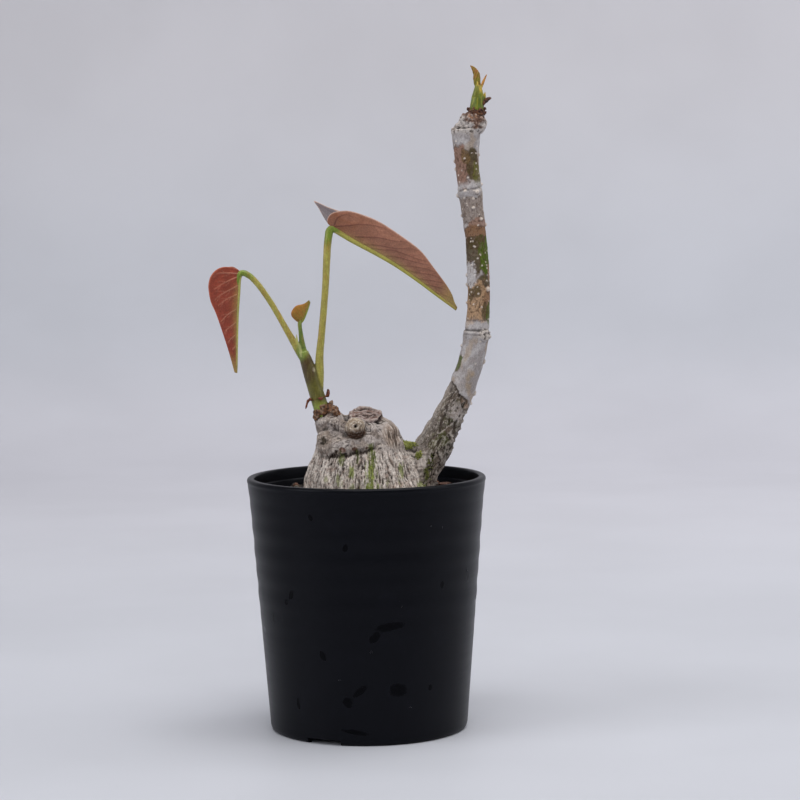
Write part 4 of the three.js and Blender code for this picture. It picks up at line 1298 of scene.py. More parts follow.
def old_wood(points):
    """Relief and colour of all the old wood, from the base up to the crusted knob."""
    height, angle, reach = branch_place(points)
    bark = base_bark(points)
    for feature in (front_knob, ledge, side_knobs, stripes, scar_features):
        bark = feature(points, *bark)
    on_branch = smooth(99, 108, points[:, 2] + 0.5 * (points[:, 0] - 24)) * smooth(14, 18, points[:, 0])
    bark = over(bark, lower_bark(points, height, angle, reach), on_branch)
    bark = foot_cracks(points, *bark)
    edge = height - overlap_height(angle) - 0.5 * rough(points, 1.6, 3, 61.0)
    upper = smooth(-0.15, 0.15, edge) * on_branch
    relief, shade = over(bark, upper_bark(points, height, angle, edge), upper)
    shade = cover(shade, FISSURE_AND_SHADE, 0.8 * bell(edge + 0.35, 0.4) * on_branch)
    crust = smooth(222.6, 224.2, points[:, 2] + 0.6 * rough(points, 1.4, 2, 5.0)) * on_branch
    relief, shade = over((relief, shade), knob_crust(points), crust)
    seat = spot(points, (-13.6, -2, SHOOT_SEAT_Z), (5.6, 5.2, 3.2))
    return relief, cover(shade, RUST, 0.7 * seat * smooth(-0.15, 0.2, rough(points, 1.2, 3, 71.0)))


def make_bark():
    """The whole skin of the plant's old wood, in one, before it is parted at the seam."""
    branch = tube(BRANCH, 72, 320, relief=branch_relief)
    whole = piece("bark", *joined([swelling_skin(), scar_plate(), branch, *knob_parts()]))
    fuse(whole, 0.3, 2)
    relief, shade = old_wood(places(whole))
    lift(whole, relief)
    fine, broad = hollows(whole, 6), hollows(whole, 30)
    # Painted shade: darker in the fine and the broad hollows of the skin. Painted highlight: paler on
    # its ridges.
    shade = cover(shade, 0.3 * shade, 0.68 * smooth(0.02, 0.12, fine))
    shade = cover(shade, 0.45 * shade, 0.72 * smooth(0.07, 0.4, broad))
    shade = cover(shade, PALE, 0.22 * smooth(0.05, 0.15, -fine))
    tint(whole, shade)
    return whole


def parted(whole, name, point, normal, keep_above):
    """A copy of the piece, with one side of a plane left and the cut closed."""
    made = placed(name, whole.data.copy())
    mesh = bmesh.new()
    mesh.from_mesh(made.data)
    bmesh.ops.bisect_plane(
        mesh,
        geom=[*mesh.verts, *mesh.edges, *mesh.faces],
        plane_co=Vector(point * MM),
        plane_no=Vector(normal),
        clear_inner=keep_above,
        clear_outer=not keep_above,
    )
    edges = [edge for edge in mesh.edges if edge.is_boundary]
    bmesh.ops.holes_fill(mesh, edges=edges)
    mesh.to_mesh(made.data)
    mesh.free()
    return made


def bark_finish(name, length, contrast):
    """Fine grain over the tint. length is that of the fibres for their width."""
    finish = Finish(name, Roughness=0.8, Specular_IOR_Level=0.3)
    grain = finish.noise(0.55, 4.0, finish.stretch(1, 1, length))
    speckle = finish.noise(0.35, 3.0)
    shade = finish.shaded(finish.tint(), grain, 0.28, 0.72, 1 - contrast, 1 + 0.8 * contrast)
    shade = finish.shaded(shade, speckle, 0.3, 0.7, 0.85, 1.14)
    pits = finish.span(finish.cells(0.7), 0.1, 0.2, 1, 0)
    shade = finish.mix(shade, FISSURE_AND_SHADE, finish.math("MULTIPLY", pits, contrast))
    finish.bump(grain, 0.55 * contrast)
    finish.bump(finish.cells(0.6), 0.2 * contrast)
    finish.bump(speckle, 0.06)
    return finish.put(shade, finish.span(speckle, 0.3, 0.7, 0.86, 0.66))


# Moss in the fork and in the cracks: middle, half sizes, tufts
MOSS = [
    ((16.4, -1.8, 107.2), (2.6, 2.4, 0.9), 130),
    ((14.8, -3.4, 106.6), (1.6, 1.2, 0.8), 50),
    ((19.8, -4.9, 103.6), (1.4, 1.0, 1.0), 55),
    ((24.4, -5.6, 102.6), (0.9, 0.8, 2.6), 14),
    ((23.0, -6.2, 97.0), (1.8, 1.4, 4.2), 26),
    ((21.2, -7.2, 92.2), (2.4, 1.4, 1.6), 16),
    ((17.0, 3.6, 106.8), (2.2, 2.2, 0.9), 70),
    ((12.0, 11.0, 96.0), (2.4, 1.6, 2.6), 60),
    ((-16.0, 10.5, 95.0), (2.0, 1.8, 2.6), 50),
]


def moss_leaf(root, up, draw):
    """Corners of a short pointed leaf: three at its root, three wider ones and its tip."""
    lean = unit(up + 0.7 * np.array([draw.gauss(0, 1) for _ in range(3)]))
    side = unit(np.cross(lean, up) + 1e-6)
    other = np.cross(lean, side)
    length, width = draw.uniform(0.45, 0.95), draw.uniform(0.09, 0.16)
    verts = []
    for middle, reach, twist in ((root, width, 0), (root + 0.5 * length * lean, 1.3 * width, 0.5)):
        for k in range(3):
            turn = 2 * math.pi * k / 3 + twist
            verts.append(middle + reach * (math.cos(turn) * side + math.sin(turn) * other))
    return np.array([*verts, root + (length + 0.15) * lean])


def make_moss(skin):
    """Tufts of short pointed leaves that grow out of the bark."""
    draw = random.Random(19)
    leaf_faces = [(2, 1, 0)]
    for k, m in ((0, 1), (1, 2), (2, 0)):
        leaf_faces += [(k, m, 3 + m, 3 + k), (3 + k, 3 + m, 6)]
    parts, shades = [], []
    for middle, sizes, tufts in MOSS:
        for _ in range(tufts):
            spread = [m + s * draw.gauss(0, 0.5) for m, s in zip(middle, sizes)]
            hit, place, normal, _ = skin.closest_point_on_mesh(Vector(spread) * MM)
            if not hit:
                continue
            up = np.array(normal)
            root = np.array(place) / MM - 0.15 * up
            green = lerp(colour(84, 92, 36), colour(158, 160, 74), draw.random())
            green = green * (1 if middle[2] > 103 else 0.6)
            for _ in range(7):
                parts.append((moss_leaf(root, up, draw), leaf_faces))
                shades += [0.6 * green] * 3 + [green] * 3 + [1.15 * green]
    moss = piece("moss", *joined(parts))
    tint(moss, np.array(shades))
    return moss


def living(name, roughness, radius, scale, **values):
    """A finish with a little light from within. scale is in millimetres."""
    values.update(Subsurface_Radius=radius, Subsurface_Scale=scale * MM)
    return Finish(name, Roughness=roughness, **values)


def soft_finish(name, roughness, sheen=0.0, through=0.0, grain=0.5):
    """Living tissue: its own tint, a fine grain and a little light from within."""
    values = {"Specular_IOR_Level": 0.4, "Sheen_Weight": sheen, "Subsurface_Weight": through}
    finish = living(name, roughness, (0.9, 0.7, 0.3), 1.2, **values)
    fine = finish.noise(grain, 4.0)
    wide = finish.noise(5 * grain, 3.0)
    shade = finish.shaded(finish.tint(), fine, 0.3, 0.7, 0.84, 1.14)
    shade = finish.shaded(shade, wide, 0.3, 0.7, 0.88, 1.1)
    finish.bump(fine, 0.05)
    return finish.put(shade, finish.span(wide, 0.3, 0.7, roughness + 0.1, roughness - 0.08))


# The green shoot
SHOOT_STEM = [
    (-15.2, SHOOT_Y, 117.5, 3),
    (-16.9, SHOOT_Y, 122.6, 2.85),
    (-19.4, SHOOT_Y, 131, 2.75),
    (-21.3, SHOOT_Y, 137.4, 2.5),
    (-23, SHOOT_Y, 142.6, 1.9),
]
STALK_RIGHT = [
    (-17.6, SHOOT_Y, 127, 1.9),
    (-17.1, SHOOT_Y, 134.9, 1.75),
    (-16.9, SHOOT_Y, 141.3, 1.5),
    (-15.9, SHOOT_Y + 0.4, 151, 1.3),
    (-14.5, SHOOT_Y + 1.4, 166, 1.3),
    (-13.6, SHOOT_Y + 2.4, 181, 1.4),
    (-13, SHOOT_Y + 2.9, 186, 1.5),
    (-12.7, SHOOT_Y + 3, 187.6, 1.5),
    (-11.9, SHOOT_Y + 3, 188.5, 1.35),
    (-10.6, SHOOT_Y + 3, 188.1, 1.1),
    (-8.4, SHOOT_Y + 3, 186.9, 0.95),
    (-5.5, SHOOT_Y + 3, 185.2, 0.6),
]
STALK_LEFT = [
    (-21.6, SHOOT_Y, 138.4, 1.7),
    (-24.1, SHOOT_Y, 142.3, 1.6),
    (-28.6, SHOOT_Y, 150.1, 1.2),
    (-33.9, SHOOT_Y - 0.3, 159.7, 1.1),
    (-38.2, SHOOT_Y - 0.7, 166.4, 1.1),
    (-41.4, SHOOT_Y - 1, 170.3, 1.1),
    (-43.6, SHOOT_Y - 1, 172, 1.15),
    (-45.2, SHOOT_Y - 1, 172.5, 1.15),
    (-46.4, SHOOT_Y - 1, 172, 1.05),
    (-46.9, SHOOT_Y - 1, 170.4, 0.8),
    (-47, SHOOT_Y - 1, 168, 0.45),
]
STALK_YOUNG = [
    (-22.2, SHOOT_Y, 139.6, 1.7),
    (-23.2, SHOOT_Y, 144.5, 1.2),
    (-23.9, SHOOT_Y, 150, 0.8),
    (-24.2, SHOOT_Y, 153.2, 0.8),
    (-23.9, SHOOT_Y, 154.6, 0.65),
    (-23.2, SHOOT_Y, 156.2, 0.35),
]
STIPULES = [
    [
        (-23.7, SHOOT_Y - 1.3, 141.4, 0.7),
        (-25.0, SHOOT_Y - 1.2, 145.6, 0.66),
        (-25.5, SHOOT_Y - 0.9, 149.6, 0.16),
    ],
    [
        (-19.3, SHOOT_Y - 1.7, 132.2, 0.4),
        (-19.0, SHOOT_Y - 1.7, 134.2, 0.4),
        (-19.3, SHOOT_Y - 1.4, 136, 0.16),
    ],
]


def shoot_shades(points, streak):
    """Olive stalks on a darker stem, with greener joints and foot, and a reddish blush above."""
    stem = rod(points, SHOOT_STEM[0][:3], SHOOT_STEM[-1][:3])
    on_stem = fall(2.6, 3.6, stem)
    dusky = spot(points, (-21.2, -3, 136.2), (3.6, 6, 6.4))
    joint_left = rod(points, (-43.8, SHOOT_Y - 1, 172), (-47, SHOOT_Y - 1, 170.6))
    joint_right = rod(points, (-13, SHOOT_Y + 3, 184.4), (-11.4, SHOOT_Y + 3, 188.6))
    swollen = np.minimum(joint_left, joint_right)
    fork = spot(points, (-23.4, -3, 143.2), (2.6, 4, 4.4))
    young = rod(points, STALK_YOUNG[1][:3], STALK_YOUNG[-1][:3])
    shade = flood(len(points), colour(152, 142, 66))
    shade = layered(shade, [
        (colour(84, 80, 24), on_stem * fall(139, 144, points[:, 2])),
        (colour(70, 52, 24), 0.9 * on_stem * dusky),
        (colour(128, 140, 52), fall(121.5, 125.5, points[:, 2])),
        (colour(108, 126, 38), fall(1.6, 4.2, swollen)),
        (colour(112, 132, 52), 0.85 * fork),
        (colour(92, 112, 42), fall(1.2, 2.0, young)),
    ])
    for stipule in STIPULES:
        pale = fall(0.5, 0.8, rod(points, stipule[0][:3], stipule[-1][:3]))
        shade = cover(shade, colour(168, 170, 112), 0.75 * pale)
        dry = spot(points, stipule[-1][:3], (0.8, 1, 1.2))
        shade = cover(shade, colour(150, 138, 120), 0.8 * dry)
    red = smooth(0.05, 0.4, rough(points, (2.2, 2.2, 12), 3, 9.0)) * smooth(143, 150, points[:, 2])
    shade = cover(shade, colour(150, 104, 52), 0.35 * red)
    return cover(shade, colour(172, 176, 92), (0.3 - 0.22 * on_stem) * smooth(0.1, 0.45, streak))


def make_shoot():
    parts = [tube(SHOOT_STEM, 48, 80), tube(STALK_RIGHT, 32, 160), tube(STALK_LEFT, 32, 160)]
    parts.append(tube(STALK_YOUNG, 28, 50))
    parts += [tube(stipule, 20, 30, 0.7) for stipule in STIPULES]
    shoot = fuse(piece("shoot", *joined(parts)), 0.2, 4)
    points = places(shoot)
    streak = rough(points, (0.7, 0.7, 7), 3, 2.0)
    lift(shoot, 0.05 * streak + 0.03 * rough(points, 0.6, 2, 5.0))
    tint(shoot, shoot_shades(points, streak))
    return shoot


COLLAR_CRUMB = (0.35, 0.65)


def make_collar():
    """Brown crust on the stub, wrapped aslant round the foot of the shoot."""
    draw = random.Random(23)
    middle = np.array([-13.7, SHOOT_Y + 0.4, 120.9])
    radii = (3.8, 4.0, 1.9)
    parts = [ball(middle, radii, 3)]
    for _ in range(170):
        turn, tilt = draw.uniform(0, 2 * math.pi), draw.uniform(-0.4, 1.4)
        x = 4.0 * math.cos(turn) * math.cos(tilt)
        y = 4.1 * math.sin(turn) * math.cos(tilt)
        z = 1.9 * math.sin(tilt) - 0.42 * x
        parts.append(crumb(middle + (x, y, z), draw.uniform(*COLLAR_CRUMB), draw))
    for _ in range(200):
        turn = draw.uniform(0, 2 * math.pi)
        x = -15.9 + 3.3 * math.cos(turn)
        y = SHOOT_Y + 3.3 * math.sin(turn)
        z = 120.9 + 0.5 * (x + 16) + draw.uniform(-2.4, 1.4)
        parts.append(crumb((x, y, z), draw.uniform(*COLLAR_CRUMB), draw))
    return fuse(piece("collar", *joined(parts)), 0.2, 1)


def crust_shades(made, dark, light, pale):
    points = places(made)
    grit = rough(points, 0.9, 3, 2.0)
    lift(made, 0.18 * grit)
    shade = flood(len(points), lerp(dark, light, 0.5))
    shade = layered(shade, [
        (light, smooth(0.05, 0.4, grit)),
        (dark, smooth(0.02, 0.35, -grit)),
        (pale, 0.6 * smooth(0.15, 0.4, rough(points, 1.7, 2, 8.0))),
    ])
    tint(made, shade)


NODE_RING = np.array([-17.6, SHOOT_Y, 124.9])
HOOK = [(-20.2, -5.2, 125.2, 0.55), (-21.4, -5.3, 124.4, 0.5), (-22.3, -5.4, 121.4, 0.25)]
NUB = [(-14.3, -3.8, 125.6, 0.6), (-13.9, -3.8, 127.4, 0.7), (-14, -3.8, 128.8, 0.3)]


def make_dried():
    """The dry scales at the shoot's lowest node: a ragged ring, a hook, a nub and a lump."""
    parts = []
    for turn in turns(60):
        x = NODE_RING[0] + 2.9 * math.cos(turn)
        y = SHOOT_Y + 2.85 * math.sin(turn)
        z = NODE_RING[2] + 0.4 + 0.27 * 2.9 * math.cos(turn)
        size = 0.26 + 0.12 * math.sin(5 * turn + 2.2)
        parts.append(ball((x, y, z), (size, size, 0.8 * size), 2))
    parts += [tube(HOOK, 16, 24), tube(NUB, 16, 20)]
    parts.append(ball((-16.6, -5.75, 125.2), (0.75, 0.4, 0.6), 3))
    return fuse(piece("stipules", *joined(parts)), 0.15, 2)


# The leaves. midrib, near and far are (x, z) outlines from a leaf's base to its tip. The shades are
# those of the outer face, the inner face, the veins, the midrib and the margin, and warm is that of
# the outer face near the base. lean is how far a half stands off for its width, belly how far it
# swells out, rib the radii of the midrib at its two ends, line the width of a vein, and grid the
# rows and columns of a half.
BLADE_THICKNESS = 0.42
RIB_SIDES = 18
RIB_STEPS = 140
LEAF_RIGHT = {
    "name": "right_blade",
    "roughness": 0.5,
    "shades": [
        colour(150, 103, 83), colour(110, 101, 105), colour(90, 40, 32), colour(158, 152, 72),
        colour(206, 172, 156),
    ],
    "midrib": [
        (-11.9, 188.9), (-10, 187.7), (-5, 184.6), (6.3, 178.3), (13.5, 173.8), (21.2, 168.2),
        (27.6, 163.2), (34.6, 157.9),
    ],
    "near": [
        (-12.4, 189.7), (-13.4, 190.8), (-13.1, 192.8), (-11.8, 194.3), (-9, 195.1), (-4.8, 195.1),
        (0.7, 193.4), (6.3, 190.9), (13.7, 186), (21.1, 180.3), (26.2, 173.7), (30.6, 167.6),
        (32.9, 163.6), (33.8, 160.8), (34.9, 158.6),
    ],
    "far": [
        (-12.4, 189.7), (-14.2, 191.8), (-16.7, 196.1), (-18.5, 198.9), (-17.0, 198.5),
        (-13.2, 196.7), (-9, 195.2), (-3.6, 193.9), (6, 190), (13.3, 185), (20.6, 179.2),
        (29.9, 166.4), (34.9, 158.6),
    ],
    "lean": 0.2,
    "belly": 0.7,
    "y": SHOOT_Y + 3,
    "rib": (1.0, 0.46),
    "line": 0.2,
    "warm": colour(138, 82, 50),
    "grid": (260, 56),
    "veins": [
        [(-10.5, 189.4), (-5.6, 189.7), (-1.2, 190.1), (4.1, 189.6), (8.9, 188.2), (13, 186.5),
         (17.1, 184.1)],
        [(-10.8, 190), (-9.7, 192.5), (-7.5, 193.6), (-3.7, 194.2), (1.5, 193.4)],
        [(-3.1, 185.5), (1.8, 185.3), (6.2, 185), (12.2, 183.7), (16.7, 183.3), (20, 182)],
        [(0.3, 182.6), (5.5, 182.2), (11.4, 181.1), (18.2, 180.7), (22.2, 179.4)],
        [(3.2, 181.2), (6.9, 180.5), (11.1, 180.3), (15.1, 178.9), (20.4, 176.9), (23.3, 176.1)],
        [(8.6, 178.2), (13.2, 177.6), (18.8, 175.9), (24.6, 174.6)],
        [(11.4, 175.8), (14, 174.6), (18.5, 174.1), (24.1, 173), (27.4, 171.6)],
        [(15.8, 172.8), (20.2, 171.8), (25.6, 170.9), (28.6, 169.6)],
        [(18.1, 170.8), (20.7, 169.6), (25.1, 168.8), (29.4, 168)],
        [(22.6, 167.6), (26.4, 166.6), (30.6, 165.4)],
        [(26.6, 164.4), (29.6, 163.4), (32.2, 162.4)],
    ],
}
LEAF_LEFT = {
    "name": "left_blade",
    "roughness": 0.5,
    "shades": [
        colour(138, 60, 42), colour(110, 72, 56), colour(202, 142, 116), colour(162, 156, 86),
        colour(190, 110, 82),
    ],
    "midrib": [
        (-45.6, 172.6), (-46.3, 170.4), (-46.8, 164.2), (-47.4, 156.7), (-47.8, 146.1),
        (-48, 138.6), (-48.2, 135.2),
    ],
    "near": [
        (-46.2, 173.2), (-47.2, 173.9), (-48.8, 174.6), (-52.1, 174.9), (-54.8, 173.9),
        (-56.9, 171.6), (-57.8, 168.6), (-57.8, 166.2), (-57.1, 162), (-55.4, 157.9),
        (-53.8, 153.1), (-50.9, 143.5), (-48.8, 135.4),
    ],
    "far": [
        (-46.2, 173.2), (-47.4, 174.2), (-49.2, 174.9), (-51.6, 174.4), (-54, 173), (-56, 170.4),
        (-56.9, 166.6), (-55.8, 161.8), (-53.2, 154), (-50.5, 143.6), (-48.8, 135.4),
    ],
    "lean": 0.2,
    "belly": 0.6,
    "y": SHOOT_Y - 1,
    "rib": (0.52, 0.3),
    "line": 0.15,
    "warm": colour(132, 58, 38),
    "grid": (200, 52),
    "veins": [
        [(-46.6, 172.3), (-50, 172.6), (-54.7, 172.5), (-56.3, 170.8)],
        [(-47, 171.2), (-51.7, 169.1), (-55.7, 166.7)],
        [(-47.1, 167.8), (-53.2, 164.6), (-55.6, 162.6)],
        [(-47.2, 164.6), (-51.1, 162.9), (-54.3, 160.6)],
        [(-47.5, 159.2), (-50.8, 157.2), (-53.6, 154.4)],
        [(-47.6, 154.4), (-51.2, 151.6), (-52.4, 150.2)],
        [(-47.8, 149.8), (-50, 147.9), (-51, 146.6)],
        [(-47.9, 145.6), (-49.4, 144)],
    ],
}
LEAF_YOUNG = {
    "name": "young_blade",
    "roughness": 0.45,
    "shades": [
        colour(158, 110, 42), colour(128, 108, 52), colour(134, 128, 44), colour(128, 138, 54),
        colour(186, 110, 64),
    ],
    "midrib": [
        (-24, 153.6), (-22.9, 154.8), (-21.3, 158.5), (-20.3, 161.6),
    ],
    "near": [
        (-24.8, 153.9), (-25.6, 154.4), (-26.9, 155.8), (-27.3, 157.2), (-26.7, 158.7),
        (-25.3, 160.1), (-22.5, 160.8), (-20.6, 162.1),
    ],
    "far": [
        (-24.8, 153.9), (-26, 155.2), (-26.5, 157.2), (-25.6, 158.8), (-24, 160), (-22.4, 160.4),
        (-20.6, 162.1),
    ],
    "lean": 0.3,
    "belly": 0.3,
    "y": SHOOT_Y,
    "rib": (0.36, 0.2),
    "line": 0.16,
    "warm": colour(142, 118, 40),
    "grid": (80, 28),
    "veins": [
        [(-23.6, 154.4), (-25.4, 156), (-26, 157.6)],
        [(-23, 155), (-24.4, 157), (-24.8, 158.8)],
        [(-22.2, 156.6), (-23, 158.4), (-23.2, 159.8)],
        [(-21.6, 158.4), (-21.9, 159.6), (-21.8, 160.6)],
    ],
}
LEAVES = {"leaf_right": LEAF_RIGHT, "leaf_left": LEAF_LEFT, "leaf_young": LEAF_YOUNG}


def forked(vein):
    """A vein with the finer ones that branch off it, and how thick each of them is."""
    line = evenly(vein, np.linspace(0, 1, 111))
    length = np.linalg.norm(line[-1] - line[0])
    veins = [(line, 1.0)]
    for start, turn in ((32, 0.6), (54, -0.7), (79, 0.55)):
        ahead = unit(line[start + 7] - line[start])
        side = np.array([-ahead[1], ahead[0]])
        off = math.cos(turn) * ahead + math.sin(turn) * side
        bent = math.cos(0.5 * turn) * ahead + math.sin(0.5 * turn) * side
        reach = 0.16 * length
        twig = [line[start], line[start] + reach * off, line[start] + reach * (off + bent)]
        veins.append((evenly(twig, np.linspace(0, 1, 36)), 0.3))
    return veins


def vein_reach(plan, veins):
    """Distance to the nearest vein in the leaf's own plane, and how thick that vein is there."""
    nearest = np.full(len(plan), 99.0)
    thick = np.ones(len(plan))
    for vein in veins:
        for line, start in forked(vein):
            for i, point in enumerate(line):
                reach = np.linalg.norm(plan - point, axis=1)
                closer = reach < nearest
                nearest = np.where(closer, reach, nearest)
                thick = np.where(closer, start * (1 - 0.6 * i / len(line)), thick)
    return nearest, thick


def leaf_columns(across):
    """Once round the blade's section: which side of the blade, and the share from midrib to margin."""
    half = np.linspace(0, 1, across + 1)[1:]
    outside = [*-half[::-1], 0.0, *half]
    inside = [*half[::-1], 0.0, *-half]
    return np.array([1] * len(outside) + [-1] * len(inside)), np.array(outside + inside)


def leaf_blade(shape, spine, near, far, u):
    """Both faces of the blade, and at each vertex: outer face or not, share, run and vein."""
    face, share = leaf_columns(shape["grid"][1])
    edge = np.where((share < 0)[:, None], near, far)
    width = np.linalg.norm(edge - spine, axis=2)
    spread = np.maximum(shape["lean"] * width, 0.5 * BLADE_THICKNESS + 0.25)
    crease = np.where(face > 0, 0, 0.5 * BLADE_THICKNESS / spread)
    v = crease + (1 - crease) * np.abs(share) ** 1.15
    swell = shape["belly"] * np.sin(math.pi * v) * np.sin(math.pi * u)
    thin = BLADE_THICKNESS * (0.5 - 0.28 * smooth(0.9, 1.0, np.abs(share)))
    place = spine + (edge - spine) * v[:, :, None]
    plan = (spine + (near - spine) * v[:, :, None]).reshape(-1, 2)
    reach, thick = (row.reshape(v.shape) for row in vein_reach(plan, shape["veins"]))
    inner = smooth(0.02, 0.1, np.abs(share)) * fall(0.85, 1, np.abs(share))
    ridge = bell(reach, shape["line"] * (0.6 + 0.5 * thick)) * (0.2 + 0.8 * thick) * inner
    quilt = 0.1 * smooth(0, 1.6, reach) * inner
    out = spread * v + swell + face * thin + np.where(face > 0, 0.16, -0.05) * ridge - quilt
    y = shape["y"] + np.sign(share) * out
    verts = np.stack([place[:, :, 0], y, place[:, :, 1]], -1).reshape(-1, 3)
    whole = np.zeros(v.shape)
    return verts, [(face > 0) + whole, np.abs(share) + whole, u + whole, ridge, whole]


def blade_faces(along, across):
    """The faces of the blade, with its two ends closed."""
    columns = 4 * across + 2
    faces = band_faces(along + 1, columns)
    for start in (0, along * columns):
        for j in range(2 * across):
            k = start + columns - 2 - j
            faces.append((start + j, start + j + 1, k, k + 1))
    return faces


def leaf_rib(shape, spine, near):
    """The round midrib, a little way outside the fold."""
    stations = np.linspace(0, len(spine) - 1, 16).astype(int)
    wide = np.linalg.norm(near - spine, axis=2) + 0.01
    low = (spine + 0.15 * (spine - near) / wide[:, :, None])[stations, 0]
    radii = np.linspace(*shape["rib"], len(stations))
    rows = np.column_stack([low[:, 0], np.full(len(low), shape["y"]), low[:, 1], radii])
    return tube(rows, RIB_SIDES, RIB_STEPS)


def make_leaf(shape):
    """A leaf folded along its stout midrib, its halves leaning out to the front and to the back."""
    along, across = shape["grid"]
    u = np.linspace(0, 1, along + 1)[:, None]
    spine, near, far = (evenly(shape[key], u[:, 0])[:, None] for key in ("midrib", "near", "far"))
    verts, blade_values = leaf_blade(shape, spine, near, far, u)
    blade = verts, blade_faces(along, across)
    made = piece(shape["name"], *joined([blade, leaf_rib(shape, spine, near)]))
    mesh = bmesh.new()
    mesh.from_mesh(made.data)
    bmesh.ops.recalc_face_normals(mesh, faces=mesh.faces)
    mesh.to_mesh(made.data)
    mesh.free()
    run = np.append(np.repeat(np.linspace(0, 1, RIB_STEPS + 1), RIB_SIDES), [0, 1])
    none, full = np.zeros(len(run)), np.ones(len(run))
    rib_values = [full, none, run, none, full]
    masks = [np.append(*pair) for pair in zip(blade_values, rib_values)]
    shade_leaf(made, shape, *masks)
    return made


def shade_leaf(made, shape, outer, share, run, vein, rib):
    """Colours of a leaf, where the five masks say how far a vertex belongs to each part."""
    points = places(made)
    under, upper, vein_shade, rib_shade, edge = shape["shades"]
    blotch = rough(points, 4.5, 3, 6.0)
    shade = lerp(upper, under, outer[:, None])
    shade = layered(shade, [
        (shape["warm"], 0.7 * outer * fall(0.08, 0.42, run)),
        (0.82 * under, outer * 0.45 * smooth(0.0, 0.4, blotch)),
        (1.16 * under, outer * 0.6 * smooth(0.0, 0.4, -blotch)),
        (vein_shade, vein * (0.4 + 0.5 * outer)),
        (lerp(rib_shade, under, 0.4), 0.7 * bell(share, 0.2) * outer),
        (rib_shade, rib),
        (1.3 * rib_shade, rib * 0.5 * smooth(0, 0.4, rough(points, (3, 0.6, 3), 2, 3.0))),
        (edge, 0.8 * smooth(0.955, 0.99, share)),
    ])
    tint(made, cover(shade, lerp(rib_shade, under, 0.3), 0.75 * smooth(0.8, 0.97, run)))


def leaf_finish(name, roughness):
    values = {"Specular_IOR_Level": 0.35, "Sheen_Weight": 0.15, "Subsurface_Weight": 0.12}
    finish = living(name, roughness, (1.0, 0.5, 0.3), 0.8, **values)
    fine = finish.noise(0.45, 4.0)
    net = finish.cells(0.85, feature="DISTANCE_TO_EDGE")
    shade = finish.shaded(finish.tint(), fine, 0.3, 0.7, 0.86, 1.14)
    shade = finish.shaded(shade, finish.noise(4), 0.3, 0.7, 0.92, 1.08)
    shade = finish.shaded(shade, net, 0.0, 0.09, 0.84, 1)
    finish.bump(net, 0.05)
    finish.bump(fine, 0.04)
    return finish.put(shade, finish.span(fine, 0.3, 0.7, roughness + 0.1, roughness - 0.06))


# The tip of the branch
BUD = [
    (TIP[0], TIP[1], TIP[2] - 0.6, 2.5),
    (42.9, 0.6, 233.2, 2.6),
    (43.3, 0.6, 237, 2.3),
    (43.4, 0.6, 240.2, 1.45),
    (43.3, 0.6, 241.3, 1.2),
]
BUD_POINTS = [
    [(44.6, 0, 234.6, 0.9), (45.6, -0.1, 236.8, 0.65), (46, -0.1, 238.7, 0.2)],
    [(43.8, -0.9, 235.4, 0.8), (44.4, -1.2, 238, 0.55), (44.6, -1.1, 240.3, 0.18)],
    [(42.6, -1.2, 237, 0.8), (42.9, -1.2, 240, 0.6), (43.2, -0.9, 242.6, 0.2)],
]
TIP_LEAF = [
    (43.25, 0.6, 241, 1.2),
    (42.95, 0.6, 243.4, 1.35),
    (42.85, 0.6, 245.4, 1.25),
    (41.8, 0.6, 247.4, 0.8),
    (40.6, 0.6, 248.6, 0.22),
]
TIP_STIPULE = [(44.3, 0.2, 239.6, 0.4), (45.2, 0.1, 242.2, 0.5), (46.6, 0.1, 245.2, 0.22)]
TIP_SCALE = [
    (44.2, 0.1, 232.0, 0.6),
    (44.9, 0, 234.2, 0.8),
    (46.4, 0, 235.7, 0.85),
    (48.2, 0.1, 236.7, 0.35),
]


def make_bud():
    parts = [tube(BUD, 40, 60)] + [tube(point, 16, 24, 0.7) for point in BUD_POINTS]
    bud = fuse(piece("bud", *joined(parts)), 0.13, 2)
    points = places(bud)
    lift(bud, 0.07 * rough(points, (0.6, 0.6, 4), 3))
    shade = flood(len(points), colour(92, 100, 18))
    streaks, clouds = rough(points, (0.8, 0.8, 4), 3, 4.0), rough(points, (1.2, 1.2, 3), 2, 7.0)
    shade = layered(shade, [
        (colour(140, 140, 46), 0.8 * smooth(0, 0.4, streaks)),
        (colour(84, 106, 36), 0.7 * smooth(0.05, 0.35, -clouds)),
        (colour(138, 134, 54), 0.6 * smooth(236, 241, points[:, 2])),
    ])
    for point in BUD_POINTS:
        shade = cover(shade, colour(190, 160, 62), 0.75 * spot(points, point[-1][:3], (1, 1, 2.2)))
    shade = cover(shade, colour(86, 52, 36), 0.8 * fall(231, 232.4, points[:, 2]))
    tint(bud, shade)
    return bud


def make_tip_leaf():
    leaf = fuse(piece("first_leaf", *tube(TIP_LEAF, 28, 60, 0.62)), 0.12, 1)
    points = places(leaf)
    ribs = np.sin(7 * (points[:, 0] - 0.35 * points[:, 2]))
    lift(leaf, 0.05 * ribs + 0.04 * rough(points, 0.7, 2))
    shade = flood(len(points), colour(122, 92, 22))
    slant = points[:, 2] - 0.8 * (points[:, 0] - 42.5)
    shade = layered(shade, [
        (colour(114, 114, 26), fall(241.6, 245.4, slant)),
        (colour(166, 138, 56), 0.5 * smooth(0.2, 0.9, ribs)),
        (colour(140, 78, 40), 0.6 * smooth(0.1, 0.5, rough(points, 1.2, 3, 4.0))),
    ])
    tint(leaf, shade)
    return leaf


def make_tip_stipule():
    strand = fuse(piece("stipule", *tube(TIP_STIPULE, 16, 40, 0.6)), 0.1, 1)
    points = places(strand)
    shade = flood(len(points), colour(186, 132, 60))
    shade = cover(shade, colour(140, 88, 44), smooth(0, 0.4, rough(points, (0.6, 0.6, 2), 3)))
    shade = cover(shade, colour(206, 176, 96), fall(240.4, 242, points[:, 2]))
    tint(strand, shade)
    return strand


